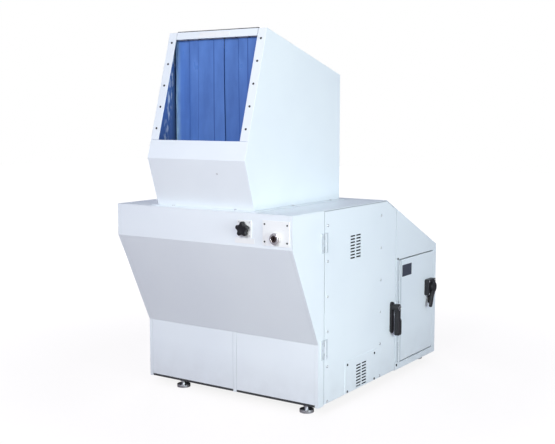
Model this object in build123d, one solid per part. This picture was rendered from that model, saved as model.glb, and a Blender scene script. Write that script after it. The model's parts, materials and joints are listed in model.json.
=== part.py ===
from build123d import *
import math
import os

# Sizes in millimetres. x runs across the machine, y from front to back, z up from the floor.

# Cabinet
cab_width = 840.0
cab_depth = 1231.0
cab_top = 784.0
foot_height = 32.0
band_height = 126.0
slope_setback = 181.0
slope_bottom = 277.0
deck_depth = 726.0
rear_top = 542.0
sheet = 3.0
panel_gap = 2.0
edge_flange = 15.0
toe_gap = 10.0
centre_strip_mid = 28.0
centre_strip_width = 16.0

# Base frame and levelling feet
bar_width = 60.0
bar_height = 30.0
foot_radius = 28.0
foot_pad = 12.0
foot_stem_radius = 9.0
foot_nut_radius = 15.0
foot_nut = 9.0
foot_right = 350.0
foot_left = -262.0
foot_from_front = 31.0
foot_from_back = 51.0

# Side door, its two butt hinges and its latch
door_seam = 222.0
stiffener_width = 34.0
stiffener_depth = 12.0
stiffener_from_seam = 27.0
stiffener_from_end = 139.0
stiffener_end_gap = 24.0
door_return = 12.0
hinge_high = 661.0
hinge_low = 252.0
hinge_height = 76.0
hinge_leaf = 23.0
hinge_barrel = 5.0
hinge_pin = 2.5
vent_slot_length = 38.0
vent_slot_height = 6.0
vent_slot_pitch = 12.4
vent_column_gap = 8.0
vent_rows = 8
vent_before_middle = 56.0
vent_from_top = 163.0
low_vent_before_middle = 4.0
low_vent_from_foot = 58.0
vent_plate_width = 262.0
vent_plate_height = 130.0
vent_plate_before_middle = 6.0
plate_thickness = 2.0
side_latch_from_end = 38.0
side_latch_z = 321.0
side_latch_length = 136.0
side_latch_width = 26.0
side_latch_base_depth = 9.0
side_lever_length = 108.0
side_lever_width = 20.0
side_latch_head = 15.0
side_grip_width = 29.0
side_grip_length = 62.0
side_grip_drop = 10.0
side_grip_offset = 4.0
side_grip_corner = 6.0
lever_depth = 12.0
lever_standoff = 14.0

# Rear door, its long hinge and its latch
rear_door_width = 347.0
rear_door_from_back = 34.0
rear_door_low = 60.0
rear_door_below_top = 24.0
door_post = 34.0
door_end_gap = 5.0
long_hinge_leaf = 20.0
long_hinge_barrel = 3.5
long_hinge_pin = 1.5
long_hinge_knuckle_count = 5
badge_from_front = 30.0
badge_width = 88.0
badge_from_top = 30.0
badge_height = 51.0
rear_latch_from_back = 51.0
rear_latch_z = 354.0
rear_latch_size = 74.0
rear_latch_depth = 22.0
rear_lug_width = 18.0
rear_lug_length = 52.0
rear_lug_root = 12.0
rear_lug_offset = 10.0
rear_lug_depth = 13.0
rear_lug_corner = 5.0
rear_lever_length = 94.0
rear_lever_width = 20.0
rear_lever_tilt = 20.0
latch_hub = 24.0

# Parts shared by both latches
spindle_radius = 6.0
cam_length = 56.0
cam_width = 16.0
cam_thickness = 3.0

# Hopper
hopper_width = 465.0
hopper_base_front = 33.0
prow_y = -27.0
prow_z = 973.0
hopper_top_y = 116.0
hopper_top_z = 1458.0
deck_behind_hopper = 73.0
hopper_back_top = 1303.0
face_flange = 38.0
mouth_low = 73.0
face_band = 29.0
bend_radius = 3.0
base_lip = 22.0
base_lip_front = 14.0
base_lip_back = 6.0
base_lip_inside = 8.0
trim_width = 388.0
trim_height = 4.0
trim_depth = 9.0
trim_from_edge = 1.0
liner_inset = 8.0

# Hopper hinge on the deck behind the hopper
tilt_behind = 23.0
tilt_lift = 8.0
tilt_barrel = 7.0
tilt_pin = 4.0
tilt_hinge_x = 150.0
tilt_hinge_width = 80.0
tilt_arm_width = 43.0
tilt_plate_length = 44.0
tilt_arm_height = 66.0

# Curtain
curtain_behind_top = 15.0
rail_drop = 17.7
rail_radius = 6.0
clip_thickness = 2.0
strip_count = 7
strip_width = 79.0
strip_pitch = 59.0
strip_thickness = 2.5
strip_above_prow = 17.0
sleeve_radius = 9.0
sleeve_length = 50.0
clip_drop = 46.0

# Controls on the front band
switch_x = 211.0
switch_z = 724.0
switch_plate = 64.0
legend_width = 88.0
legend_height = 20.0
knob_radius = 25.5
knob_waist = 18.0
knob_lobe_angle = 14.0
knob_skirt = 5.0
knob_skirt_inset = 1.5
knob_lobes = 5
knob_depth = 22.0
key_x = 350.0
key_plate_z = 715.5
key_plate_width = 116.0
key_plate_height = 92.0
key_z = 697.0
key_bezel = 22.0
key_bezel_depth = 16.0
key_bezel_step = 6.0
key_rim = 18.0
key_barrel = 12.0

# Cutting chamber and rotor
chamber_half = 190.0
chamber_plate = 20.0
chamber_wall = 15.0
chamber_front = 150.0
chamber_back = 600.0
chamber_low = 400.0
rotor_z = 560.0
rotor_hub_radius = 85.0
knife_tip = 115.0
knife_root = 62.0
knife_thickness = 14.0
knife_bevel = 12.0
knife_rows = 3
knife_gap = 1.5
bed_knife_height = 24.0
screen_gap = 7.0
screen_thickness = 4.0
screen_hole = 16.0
screen_lip = 48.0
screen_drop = 20.0
screen_ledge = 50.0
screen_ledge_height = 20.0
screen_pitch = 70.0
shaft_radius = 25.0
shaft_hole_gap = 15.0
bearing_block = 110.0
bearing_plate = 14.0
bearing_boss = 45.0
bearing_length = 36.0
flywheel_radius = 120.0
flywheel_width = 26.0
flywheel_gap = 68.0

# Drive
belt_width = 13.0
belt_thickness = 9.0
belt_count = 2
groove_depth = 11.0
groove_pitch = 19.0
rotor_pulley_radius = 110.0
motor_pulley_radius = 60.0
pulley_x = 303.0
pulley_width = 46.0
motor_from_back = 201.0
motor_z = 230.0
motor_radius = 120.0
motor_length = 320.0
motor_shaft_radius = 19.0
motor_to_pulley = 43.0
motor_end_step = 10.0
motor_fan_cover = 60.0
motor_drive_end = 30.0
motor_fin_count = 28
motor_fin_height = 9.0
motor_fin_width = 5.0
motor_foot_width = 216.0
motor_foot_height = 14.0
motor_foot_inset = 60.0
motor_saddle_width = 130.0
terminal_box_width = 100.0
terminal_box_rise = 46.0
terminal_box_inset = 110.0
motor_bearing_depth = 60.0

# Frame under the chamber, bin and electrical box
post = 40.0
post_from_side = 25.0
post_from_pulley = 13.0
post_front = 190.0
post_back = 650.0
bin_bar_front = 90.0
bin_bar_back = 60.0
motor_bar_reach = 78.0
bin_wall = 2.0
bin_left = -340.0
bin_right = 240.0
bin_top = 300.0
bin_side_gap = 8.0
bin_grip_width = 140.0
bin_grip_reach = 30.0
bin_grip_drop = 56.0
bin_grip_bar = 14.0
box_depth = 76.0
box_lid_lip = 6.0
box_front = 250.0
box_back = 520.0
box_low = 430.0
box_high = 700.0
gland_x = -300.0
gland_z = 140.0
gland_radius = 20.0
gland_cap_radius = 16.0
gland_nut = 10.0
gland_bore = 9.0
gland_length = 26.0

# Clearances
run_fit = 0.05
seat_fit = 0.02
seat_gap = 0.2
belt_clear = 0.8
knuckle_gap = 0.5
rim_side_count = 36
barrel_side_count = 16
moving_gap = 1.0

# Values that follow from the sizes above
half = cab_width / 2
skin_top = cab_top - sheet
band_bottom = cab_top - band_height
inside_back = cab_depth - sheet
base_top = foot_height + bar_height
hopper_half = hopper_width / 2
hopper_base = cab_top + sheet
hopper_back = deck_depth - deck_behind_hopper
rotor_y = (chamber_front + chamber_back) / 2
tilt_y = hopper_back + tilt_behind
tilt_z = cab_top + tilt_lift
face_length = math.hypot(hopper_top_y - prow_y, hopper_top_z - prow_z)
top_length = math.hypot(hopper_back - hopper_top_y, hopper_top_z - hopper_back_top)
mouth_high = face_length - face_band
top_fall = (hopper_top_z - hopper_back_top) / (hopper_back - hopper_top_y)
curtain_y = hopper_top_y + curtain_behind_top
rail_z = hopper_top_z - curtain_behind_top * top_fall - rail_drop
strip_bottom = prow_z + strip_above_prow
screen_inside = knife_tip + screen_gap
foot_front_y = slope_setback + foot_from_front
foot_back_y = cab_depth - foot_from_back
cam_out = half - door_return - 2.0
rear_door_back = cab_depth - rear_door_from_back
rear_door_front = rear_door_back - rear_door_width
rear_door_high = rear_top - rear_door_below_top
rear_latch_y = rear_door_back - rear_latch_from_back
door_end = rear_door_front - door_post
door_middle = (door_seam + door_end) / 2
side_latch_y = door_end - side_latch_from_end
motor_y = cab_depth - motor_from_back
motor_face = pulley_x - motor_to_pulley
door_axis_x = half + hinge_barrel + 0.5
rear_axis_x = half + long_hinge_barrel + 0.5
rear_axis_y = rear_door_front - long_hinge_barrel + 0.5

# The whole machine is centred on the floor: these are the middle of its width and of its depth
latch_reach = side_latch_base_depth + lever_standoff + lever_depth
knob_reach = plate_thickness + moving_gap + knob_depth
mid_x = latch_reach / 2
mid_y = (min(prow_y, -knob_reach) + cab_depth + gland_length) / 2


# Small helpers for blocks, rods and outlines

def block(x0, x1, y0, y1, z0, z1):
    """A block between two opposite corners."""
    return Pos((x0 + x1) / 2, (y0 + y1) / 2, (z0 + z1) / 2) * Box(x1 - x0, y1 - y0, z1 - z0)


def outline(points):
    """A flat face drawn in the side view through its (y, z) corners."""
    return Plane.YZ * Polygon(*points, align=None)


def run_x(face, x0, x1):
    """A side-view face carried across the machine from x0 to x1."""
    return Pos(x0, 0, 0) * extrude(face, amount=x1 - x0, dir=(1, 0, 0))


def rod_x(radius, x0, x1, y, z):
    return Pos((x0 + x1) / 2, y, z) * Rot(0, 90, 0) * Cylinder(radius, x1 - x0)


def rod_y(radius, y0, y1, x, z):
    return Pos(x, (y0 + y1) / 2, z) * Rot(90, 0, 0) * Cylinder(radius, y1 - y0)


def rod_z(radius, z0, z1, x, y):
    return Pos(x, y, (z0 + z1) / 2) * Cylinder(radius, z1 - z0)


def drum_x(radius, x0, x1, y, z):
    """A many-sided drum along x, for hidden wheels and barrels that need few faces."""
    face = Plane.YZ * Pos(y, z) * RegularPolygon(radius, rim_side_count)
    return run_x(face, x0, x1)


def drum_y(radius, y0, y1, x, z):
    return Pos(x, y1, z) * Rot(90, 0, 0) * extrude(RegularPolygon(radius, rim_side_count), amount=y1 - y0)


def drum_z(radius, z0, z1, x, y):
    return Pos(x, y, z0) * extrude(RegularPolygon(radius, rim_side_count), amount=z1 - z0)


def barrel_z(radius, z0, z1, x, y):
    return Pos(x, y, z0) * extrude(RegularPolygon(radius, barrel_side_count), amount=z1 - z0)


def barrel_x(radius, x0, x1, y, z):
    face = Plane.YZ * Pos(y, z) * RegularPolygon(radius, barrel_side_count)
    return run_x(face, x0, x1)


def hex_z(radius, z0, z1, x, y):
    return Pos(x, y, z0) * extrude(RegularPolygon(radius, 6), amount=z1 - z0)


def slab(plane, u0, u1, v0, v1, w0, w1):
    """A block laid in the axes of a tilted plane: across it, along it and out of it."""
    body = Pos((u0 + u1) / 2, (v0 + v1) / 2, (w0 + w1) / 2) * Box(u1 - u0, v1 - v0, w1 - w0)
    return plane.location * body


def group(solids):
    """Several separate solids kept together as one named piece."""
    return Compound([s for item in solids for s in item.solids()])


def roof_height(y):
    """Height of the top covers' outer face at a depth y: level over the deck, then falling to the back."""
    fall = (cab_top - rear_top) / (cab_depth - deck_depth)
    return cab_top - max(0, y - deck_depth) * fall


def roof_line(y0, y1, below):
    """Corners a distance below the roof from y0 to y1, with the bend at the end of the deck if it lies between."""
    bend = [deck_depth] if y0 < deck_depth < y1 else []
    return [(y, roof_height(y) - below) for y in [y0] + bend + [y1]]


# Base frame, feet and the frame that carries the chamber

def base_frame():
    left = -half + sheet
    right = half - sheet - door_return - 3.0
    front = slope_setback + sheet
    ring = block(left, right, front, inside_back, foot_height, base_top)
    ring -= block(left + bar_width, right - bar_width, front + bar_width, inside_back - bar_width,
                  foot_height, base_top)
    bars = ring
    for y in (post_front + bin_bar_front, post_back - bin_bar_back,
              motor_y - motor_bar_reach, motor_y + motor_bar_reach):
        bars += block(left, right, y - post / 2, y + post / 2, foot_height, base_top)
    return bars


def levelling_foot(x, y):
    foot = drum_z(foot_radius, 0, foot_pad, x, y)
    foot += barrel_z(foot_stem_radius, foot_pad, foot_height, x, y)
    foot += hex_z(foot_nut_radius, foot_height - foot_nut, foot_height, x, y)
    return foot


def levelling_feet():
    feet = []
    for x in (foot_left, foot_right):
        for y in (foot_front_y, foot_back_y):
            feet.append(levelling_foot(x, y))
    return group(feet)


def chamber_frame():
    left = -half + sheet + post_from_side
    right = pulley_x - post_from_pulley
    frame = None
    for x in (left, right - post):
        for y in (post_front, post_back):
            leg = block(x, x + post, y, y + post, base_top, chamber_low)
            frame = leg if frame is None else frame + leg
        frame += block(x, x + post, post_front, post_back + post, chamber_low - post, chamber_low)
    for y in (post_front, chamber_back - chamber_wall - post):
        frame += block(left, right, y, y + post, chamber_low - post, chamber_low)
    return frame


# Cabinet skins

def front_edge():
    """The front edge of a side, from the deck down: band, slope and lower front."""
    return [(0, skin_top), (0, band_bottom), (slope_setback, slope_bottom), (slope_setback, foot_height)]


def folded(points, x0, x1):
    """A folded sheet: a line of corners and the same line one sheet further back, with its bends rounded."""
    inner = [(y + sheet, z) for y, z in reversed(points)]
    face = outline(points + inner)
    bends = points[1:-1] + inner[1:-1]
    corners = [v for v in face.vertices() if any(math.hypot(v.Y - y, v.Z - z) < 0.01 for y, z in bends)]
    return run_x(fillet(corners, bend_radius), x0, x1)


def left_side_panel():
    points = roof_line(0, inside_back, sheet)[1:] + [(inside_back, foot_height)] + list(reversed(front_edge()))
    skin = run_x(outline(points), -half, -half + sheet)
    return skin + folded(front_edge(), -half, -half + edge_flange)


def right_front_panel():
    end = door_seam - panel_gap
    points = front_edge() + [(end, foot_height), (end, skin_top)]
    skin = run_x(outline(points), half - sheet, half)
    jamb = block(half - door_return, half, end - sheet, end, foot_height, skin_top)
    return skin + jamb + folded(front_edge(), half - edge_flange, half)


def rear_side_frame():
    start = door_end + panel_gap
    points = roof_line(start, inside_back, sheet) + [(inside_back, foot_height), (start, foot_height)]
    skin = run_x(outline(points), half - sheet, half)
    inner = half - door_return - 1.0
    jamb = block(inner, half, start, start + sheet, foot_height, roof_height(start + sheet) - sheet)
    window = block(inner, half, rear_door_front, rear_door_back, rear_door_low, rear_door_high)
    collar = block(inner, half, rear_door_front - sheet, rear_door_back + sheet,
                   rear_door_low - sheet, rear_door_high + sheet)
    return skin + jamb + collar - window


def front_panel():
    reach = half - edge_flange - panel_gap / 4
    panel = folded(front_edge()[:3], -reach, reach)
    panel -= rod_y(spindle_radius, -1, sheet + 1, switch_x, switch_z)
    panel -= rod_y(key_barrel + 1, -1, sheet + 1, key_x, key_z)
    return panel


def lower_front(x0, x1):
    top = slope_bottom - panel_gap / 4
    return block(x0, x1, slope_setback, slope_setback + sheet, foot_height + toe_gap, top)


def lower_front_panels():
    reach = half - edge_flange - panel_gap / 4
    strip = (centre_strip_width + panel_gap) / 2
    left = lower_front(-reach, centre_strip_mid - strip)
    right = lower_front(centre_strip_mid + strip, reach)
    return group([left, right])


def front_centre_strip():
    wing = centre_strip_width / 2
    top = slope_bottom - panel_gap / 4
    return block(centre_strip_mid - wing, centre_strip_mid + wing,
                 slope_setback, slope_setback + sheet, foot_height, top)


def top_deck():
    deck = block(-half, half, 0, deck_depth, skin_top, cab_top)
    throat = block(-chamber_half, chamber_half, chamber_front + chamber_wall, chamber_back - chamber_wall,
                   skin_top, cab_top)
    return deck - throat


def rear_slope_cover():
    points = [(deck_depth, cab_top), (cab_depth, rear_top), (cab_depth, rear_top - sheet), (deck_depth, skin_top)]
    return run_x(outline(points), -half, half)


def rear_panel():
    panel = block(-half, half, inside_back, cab_depth, foot_height, rear_top - sheet)
    return panel - rod_y(gland_bore, inside_back - 1, cab_depth + 1, gland_x, gland_z)


def cable_gland():
    nut = Pos(gland_x, cab_depth, gland_z) * Rot(-90, 0, 0) * extrude(RegularPolygon(gland_radius, 6), gland_nut)
    gland = nut + drum_y(gland_cap_radius, cab_depth, cab_depth + gland_length, gland_x, gland_z)
    return gland - rod_y(gland_bore, cab_depth - 1, cab_depth + gland_length + 1, gland_x, gland_z)


# Hinges: a frame leaf that carries the pin, and a door leaf that turns on it

def hinge_leaf_solid(axis_x, axis_y, barrel, width, side, low, high, spans):
    """One leaf: a plate on the outside of the skin and the knuckles of its own spans."""
    leaf_thickness = barrel / 2
    near = axis_y + side * (barrel + knuckle_gap)
    far = axis_y + side * width
    leaf = block(half, half + leaf_thickness, min(near, far), max(near, far), low, high)
    for z0, z1 in spans:
        leaf += block(half + knuckle_gap, half + leaf_thickness, min(axis_y, near), max(axis_y, near), z0, z1)
        leaf += barrel_z(barrel, z0, z1, axis_x, axis_y)
    return leaf


def hinge_spans(low, high, knuckles, first):
    """Every second knuckle from low to high, each a little shorter than its share."""
    step = (high - low) / knuckles
    trim = knuckle_gap / 2
    return [(low + i * step + trim, low + (i + 1) * step - trim) for i in range(first, knuckles, 2)]


def hinge_frame_leaf(axis_x, axis_y, barrel, pin, width, low, high, knuckles):
    spans = hinge_spans(low, high, knuckles, 0)
    leaf = hinge_leaf_solid(axis_x, axis_y, barrel, width, -1, low, high, spans)
    return leaf + rod_z(pin, spans[0][0], spans[-1][1], axis_x, axis_y)


def hinge_door_leaf(axis_x, axis_y, barrel, pin, width, low, high, knuckles):
    spans = hinge_spans(low, high, knuckles, 1)
    leaf = hinge_leaf_solid(axis_x, axis_y, barrel, width, 1, low, high, spans)
    return leaf - rod_z(pin + run_fit, low - 1, high + 1, axis_x, axis_y)


def butt_hinges(make):
    leaves = []
    for middle in (hinge_low, hinge_high):
        low = middle - hinge_height / 2
        leaves.append(make(door_axis_x, door_seam, hinge_barrel, hinge_pin, hinge_leaf,
                           low, low + hinge_height, 3))
    return group(leaves)


def long_hinge(make):
    low = rear_door_low + door_end_gap
    high = rear_door_high - door_end_gap
    return make(rear_axis_x, rear_axis_y, long_hinge_barrel, long_hinge_pin,
                long_hinge_barrel + long_hinge_leaf, low, high, long_hinge_knuckle_count)


# Doors

def door_pan(points):
    """A sheet door: a flat skin with its edges returned inwards."""
    face = outline(points)
    body = run_x(face, half - door_return, half)
    inside = offset(face, amount=-sheet, kind=Kind.INTERSECTION)
    return body - run_x(inside, half - door_return, half - sheet)


def vent_slots(y_mid, z_mid, x0, x1):
    """Two columns of slots, cut through from x0 to x1."""
    slots = []
    for column in (-1, 1):
        y = y_mid + column * (vent_slot_length + vent_column_gap) / 2
        for row in range(vent_rows):
            z = z_mid + (row - (vent_rows - 1) / 2) * vent_slot_pitch
            slots.append(block(x0, x1, y - vent_slot_length / 2, y + vent_slot_length / 2,
                               z - vent_slot_height / 2, z + vent_slot_height / 2))
    return slots


def side_door():
    front = door_seam + panel_gap
    back = door_end - panel_gap
    low = foot_height + panel_gap * 2
    top = roof_line(front, back, sheet + panel_gap)
    door = door_pan([(front, low), (back, low)] + list(reversed(top)))
    for slot in vent_slots(door_middle - vent_before_middle, cab_top - vent_from_top, half - sheet - 1, half + 1):
        door -= slot
    open_y = vent_slot_length + vent_column_gap
    open_z = ((vent_rows - 1) * vent_slot_pitch + vent_slot_height) / 2
    mid_y = door_middle - low_vent_before_middle
    mid_z = foot_height + low_vent_from_foot
    door -= block(half - sheet - 1, half + 1, mid_y - open_y, mid_y + open_y, mid_z - open_z, mid_z + open_z)
    door += door_stiffener(door_seam + stiffener_from_seam)
    door += door_stiffener(door_end - stiffener_from_end)
    return door - rod_x(spindle_radius + 2, half - sheet - 1, half + 1, side_latch_y, side_latch_z)


def door_stiffener(y):
    """An upright channel on the inside of the side door, open at its two ends."""
    wide = stiffener_width / 2
    face = half - sheet
    low = foot_height + stiffener_end_gap
    high = roof_height(y + wide) - stiffener_end_gap
    channel = block(face - stiffener_depth, face, y - wide, y + wide, low, high)
    return channel - block(face - stiffener_depth + sheet, face, y - wide + sheet, y + wide - sheet, low, high)


def lower_vent_plate():
    low = foot_height + panel_gap * 3
    mid_y = door_middle - vent_plate_before_middle
    plate = block(half, half + plate_thickness, mid_y - vent_plate_width / 2, mid_y + vent_plate_width / 2,
                  low, low + vent_plate_height)
    for slot in vent_slots(door_middle - low_vent_before_middle, foot_height + low_vent_from_foot,
                           half - 1, half + plate_thickness + 1):
        plate -= slot
    return plate


def rear_door():
    front = rear_door_front + panel_gap
    back = rear_door_back - panel_gap
    low = rear_door_low + door_end_gap
    high = rear_door_high - door_end_gap
    door = door_pan([(front, low), (back, low), (back, high), (front, high)])
    return door - rod_x(spindle_radius + 2, half - sheet - 1, half + 1, rear_latch_y, rear_latch_z)


def rear_door_plate():
    front = rear_door_front + badge_from_front
    top = rear_door_high - badge_from_top
    return block(half, half + plate_thickness, front, front + badge_width, top - badge_height, top)


# Latches: a base on the door, and a lever with its spindle and cam

def latch_spindle(y, z, outer):
    """The spindle through the door and the cam behind it, standing up at rest."""
    spindle = rod_x(spindle_radius, cam_out - cam_thickness, outer, y, z)
    cam = block(cam_out - cam_thickness, cam_out, y - cam_width / 2, y + cam_width / 2,
                z - cam_width / 2, z + cam_length)
    return spindle + cam


def side_latch_base():
    mid_z = side_latch_z - side_latch_length / 2 + side_latch_width * 0.9
    shape = Plane.YZ * Pos(side_latch_y, mid_z) * SlotOverall(side_latch_length, side_latch_width, rotation=90)
    base = run_x(shape, half, half + side_latch_base_depth)
    return base - rod_x(spindle_radius + run_fit, half - 1, half + side_latch_base_depth + 1,
                        side_latch_y, side_latch_z)


def side_latch_lever():
    """A round head, a shank and a wider grip that stands to one side."""
    base = half + side_latch_base_depth
    arm0 = base + lever_standoff
    lever = drum_x(side_latch_head, base + moving_gap / 2, arm0 + lever_depth, side_latch_y, side_latch_z)
    shank = Plane.YZ * Pos(side_latch_y, side_latch_z - side_lever_length / 2) * Rectangle(
        side_lever_width, side_lever_length)
    lever += run_x(shank, arm0, arm0 + lever_depth)
    grip_z = side_latch_z - side_lever_length + side_grip_length / 2 - side_grip_drop
    grip = Plane.YZ * Pos(side_latch_y + side_grip_offset, grip_z) * RectangleRounded(
        side_grip_width, side_grip_length, side_grip_corner)
    lever += run_x(grip, arm0, arm0 + lever_depth)
    return lever + latch_spindle(side_latch_y, side_latch_z, arm0)


def rear_latch_base():
    shape = Plane.YZ * Pos(rear_latch_y, rear_latch_z) * RectangleRounded(rear_latch_size, rear_latch_size, 9)
    base = run_x(shape, half, half + rear_latch_depth)
    lug_z = rear_latch_z - rear_latch_size / 2 - rear_lug_length / 2 + rear_lug_root
    lug = Plane.YZ * Pos(rear_latch_y + rear_lug_offset, lug_z) * RectangleRounded(
        rear_lug_width, rear_lug_length, rear_lug_corner)
    base += run_x(lug, half, half + rear_lug_depth)
    return base - rod_x(spindle_radius + run_fit, half - 1, half + rear_latch_depth + 1,
                        rear_latch_y, rear_latch_z)


def rear_latch_lever():
    face = half + rear_latch_depth
    hub = drum_x(latch_hub, face + 0.4, face + lever_depth, rear_latch_y, rear_latch_z)
    bar = Plane.YZ * Pos(0, -rear_lever_length / 2) * SlotOverall(rear_lever_length, rear_lever_width, rotation=90)
    bar = run_x(bar, face + 2.0, face + lever_depth)
    bar = Pos(0, rear_latch_y, rear_latch_z) * Rot(-rear_lever_tilt, 0, 0) * bar
    return hub + bar + latch_spindle(rear_latch_y, rear_latch_z, face + lever_depth / 2)


# Hopper: folded sheet panels on a base flange

def face_plane():
    """The leaning front face: origin at the prow, along it up the face, out of it to the front."""
    out = (0, -(hopper_top_z - prow_z), hopper_top_y - prow_y)
    return Plane(origin=(0, prow_y, prow_z), x_dir=(1, 0, 0), z_dir=out)


def top_plane():
    """The sloping top: origin at its front edge, along it to the back, out of it upwards."""
    out = (0, hopper_top_z - hopper_back_top, hopper_back - hopper_top_y)
    return Plane(origin=(0, hopper_top_y, hopper_top_z), x_dir=(1, 0, 0), z_dir=out)


def hopper_outline():
    return [(hopper_base_front, hopper_base), (prow_y, prow_z), (hopper_top_y, hopper_top_z),
            (hopper_back, hopper_back_top), (hopper_back, hopper_base)]


def hopper_wall(side):
    x0, x1 = sorted((side * hopper_half, side * (hopper_half - sheet)))
    wall = run_x(outline(hopper_outline()), x0, x1)
    f0, f1 = sorted((side * hopper_half, side * (hopper_half - face_flange)))
    flange = slab(face_plane(), f0, f1, mouth_low + moving_gap, face_length + sheet, -sheet, 0)
    return wall + (flange & run_x(outline(hopper_outline()), f0, f1))


def hopper_top_panel():
    reach = hopper_half - sheet
    band = hopper_half - face_flange - panel_gap
    corner = face_plane().z_dir.dot(top_plane().z_dir)
    behind_flange = sheet * (1 + abs(corner)) / math.sqrt(1 - corner * corner) + seat_gap
    panel = slab(top_plane(), -reach, reach, behind_flange, top_length, -sheet, 0)
    lip = slab(top_plane(), -band, band, -sheet, behind_flange + sheet, -sheet, 0)
    lip += slab(face_plane(), -band, band, mouth_high, face_length + sheet, -sheet, 0)
    return panel + (lip & run_x(outline(hopper_outline()), -band, band))


def hopper_lower_front():
    reach = hopper_half - sheet
    rise = (hopper_top_z - prow_z) / face_length
    run = (hopper_top_y - prow_y) / face_length
    points = [(hopper_base_front, hopper_base), (prow_y, prow_z),
              (prow_y + mouth_low * run, prow_z + mouth_low * rise)]
    return folded(points, -reach, reach)


def hopper_back_panel():
    reach = hopper_half - sheet
    high = hopper_back_top - sheet * math.hypot(1, top_fall) - seat_gap
    return block(-reach, reach, hopper_back - sheet, hopper_back, hopper_base, high)


def hopper_base_flange():
    wide = hopper_half + base_lip
    ring = block(-wide, wide, hopper_base_front - base_lip_front, hopper_back + base_lip_back, cab_top, hopper_base)
    inside = hopper_half - base_lip_inside
    return ring - block(-inside, inside, hopper_base_front + base_lip_inside,
                        hopper_back - base_lip_inside, cab_top, hopper_base)


def top_edge_trim():
    start = trim_from_edge
    return slab(top_plane(), -trim_width / 2, trim_width / 2, start, start + trim_depth, 0, trim_height)


def hopper_liner(side):
    face = offset(outline(hopper_outline()), amount=-liner_inset, kind=Kind.INTERSECTION)
    wall = hopper_half - sheet
    x0, x1 = sorted((side * wall, side * (wall - plate_thickness)))
    return run_x(face, x0, x1)


def hopper_hinge_bracket(x):
    wide = tilt_hinge_width / 2
    bracket = block(x - wide, x + wide, tilt_y + tilt_barrel, tilt_y + tilt_plate_length, cab_top, cab_top + sheet)
    arm = tilt_arm_width / 2 + knuckle_gap
    for a, b in ((-wide, -arm), (arm, wide)):
        bracket += block(x + a, x + b, tilt_y, tilt_y + tilt_barrel * 2, cab_top, tilt_z)
        bracket += barrel_x(tilt_barrel, x + a, x + b, tilt_y, tilt_z)
    return bracket + rod_x(tilt_pin, x - wide, x + wide, tilt_y, tilt_z)


def hopper_hinge_arm(x):
    wide = tilt_arm_width / 2
    low = hopper_base + moving_gap
    arm = block(x - wide, x + wide, hopper_back, hopper_back + sheet, low, low + tilt_arm_height)
    arm += block(x - wide, x + wide, hopper_back, tilt_y, low, tilt_z + tilt_barrel / 2)
    arm += barrel_x(tilt_barrel, x - wide, x + wide, tilt_y, tilt_z)
    return arm - rod_x(tilt_pin + run_fit, x - wide - 1, x + wide + 1, tilt_y, tilt_z)


# Curtain: strips clipped to sleeves that turn on a rail

def curtain_rail():
    end = hopper_half - sheet - plate_thickness
    rail = rod_x(rail_radius, -end, end, curtain_y, rail_z)
    for side in (-1, 1):
        a, b = sorted((side * end, side * (end - 4)))
        rail += barrel_x(sleeve_radius, a, b, curtain_y, rail_z)
    return rail


def strip_middle(i):
    return (i - (strip_count - 1) / 2) * strip_pitch


def square_x(half_side, x0, x1, y, z):
    return block(x0, x1, y - half_side, y + half_side, z - half_side, z + half_side)


def strip_front(i):
    """Front face of a strip: odd strips hang in front of the rail's middle, even ones behind it."""
    if i % 2 == 1:
        return curtain_y - clip_thickness / 2 - strip_thickness
    return curtain_y + clip_thickness / 2


def curtain_clip(i):
    """A square sleeve that hangs on the round rail, with a tongue behind its strip."""
    x = strip_middle(i)
    reach = sleeve_length / 2
    tongue = strip_front(i) + strip_thickness
    bore = rail_radius + seat_gap * 2
    clip = square_x(sleeve_radius, x - reach, x + reach, curtain_y, rail_z)
    clip -= square_x(bore, x - sleeve_length, x + sleeve_length, curtain_y, rail_z)
    return clip + block(x - reach, x + reach, tongue, tongue + clip_thickness, rail_z - clip_drop, rail_z - bore)


def curtain_strip(i):
    x = strip_middle(i)
    y = strip_front(i)
    return block(x - strip_width / 2, x + strip_width / 2, y, y + strip_thickness,
                 strip_bottom, rail_z - sleeve_radius - moving_gap)


# Controls on the front band

def main_switch_plate():
    side = switch_plate / 2
    plate = block(switch_x - side, switch_x + side, -plate_thickness, 0, switch_z - side, switch_z + side)
    return plate - rod_y(spindle_radius - 1 + run_fit, -plate_thickness - 1, 1, switch_x, switch_z)


def switch_legend_plate():
    top = switch_z - switch_plate / 2 - panel_gap
    return block(switch_x - legend_width / 2, switch_x + legend_width / 2, -plate_thickness / 2, 0,
                 top - legend_height, top)


def star_outline():
    """Five blunt lobes: two corners on each lobe and a waist between lobes."""
    points = []
    for i in range(knob_lobes):
        middle = 90 + i * 360 / knob_lobes
        points += [(knob_radius, middle - knob_lobe_angle), (knob_radius, middle + knob_lobe_angle)]
        points.append((knob_waist, middle + 180 / knob_lobes))
    corners = [(r * math.cos(math.radians(a)), r * math.sin(math.radians(a))) for r, a in points]
    return Polygon(*corners, align=None)


def main_switch_knob():
    """A star-shaped grip on a round skirt, with a spindle through the panel."""
    back = -plate_thickness - moving_gap
    grip = extrude(star_outline(), knob_depth - knob_skirt)
    knob = Pos(switch_x, back - knob_skirt, switch_z) * Rot(90, 0, 0) * grip
    knob += drum_y(knob_radius - knob_skirt_inset, back - knob_skirt, back, switch_x, switch_z)
    return knob + rod_y(spindle_radius - 1, back, sheet * 4, switch_x, switch_z)


def key_switch_plate():
    wide = key_plate_width / 2
    tall = key_plate_height / 2
    plate = block(key_x - wide, key_x + wide, -plate_thickness, 0, key_plate_z - tall, key_plate_z + tall)
    return plate - rod_y(key_barrel + 1, -plate_thickness - 1, 1, key_x, key_z)


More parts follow.
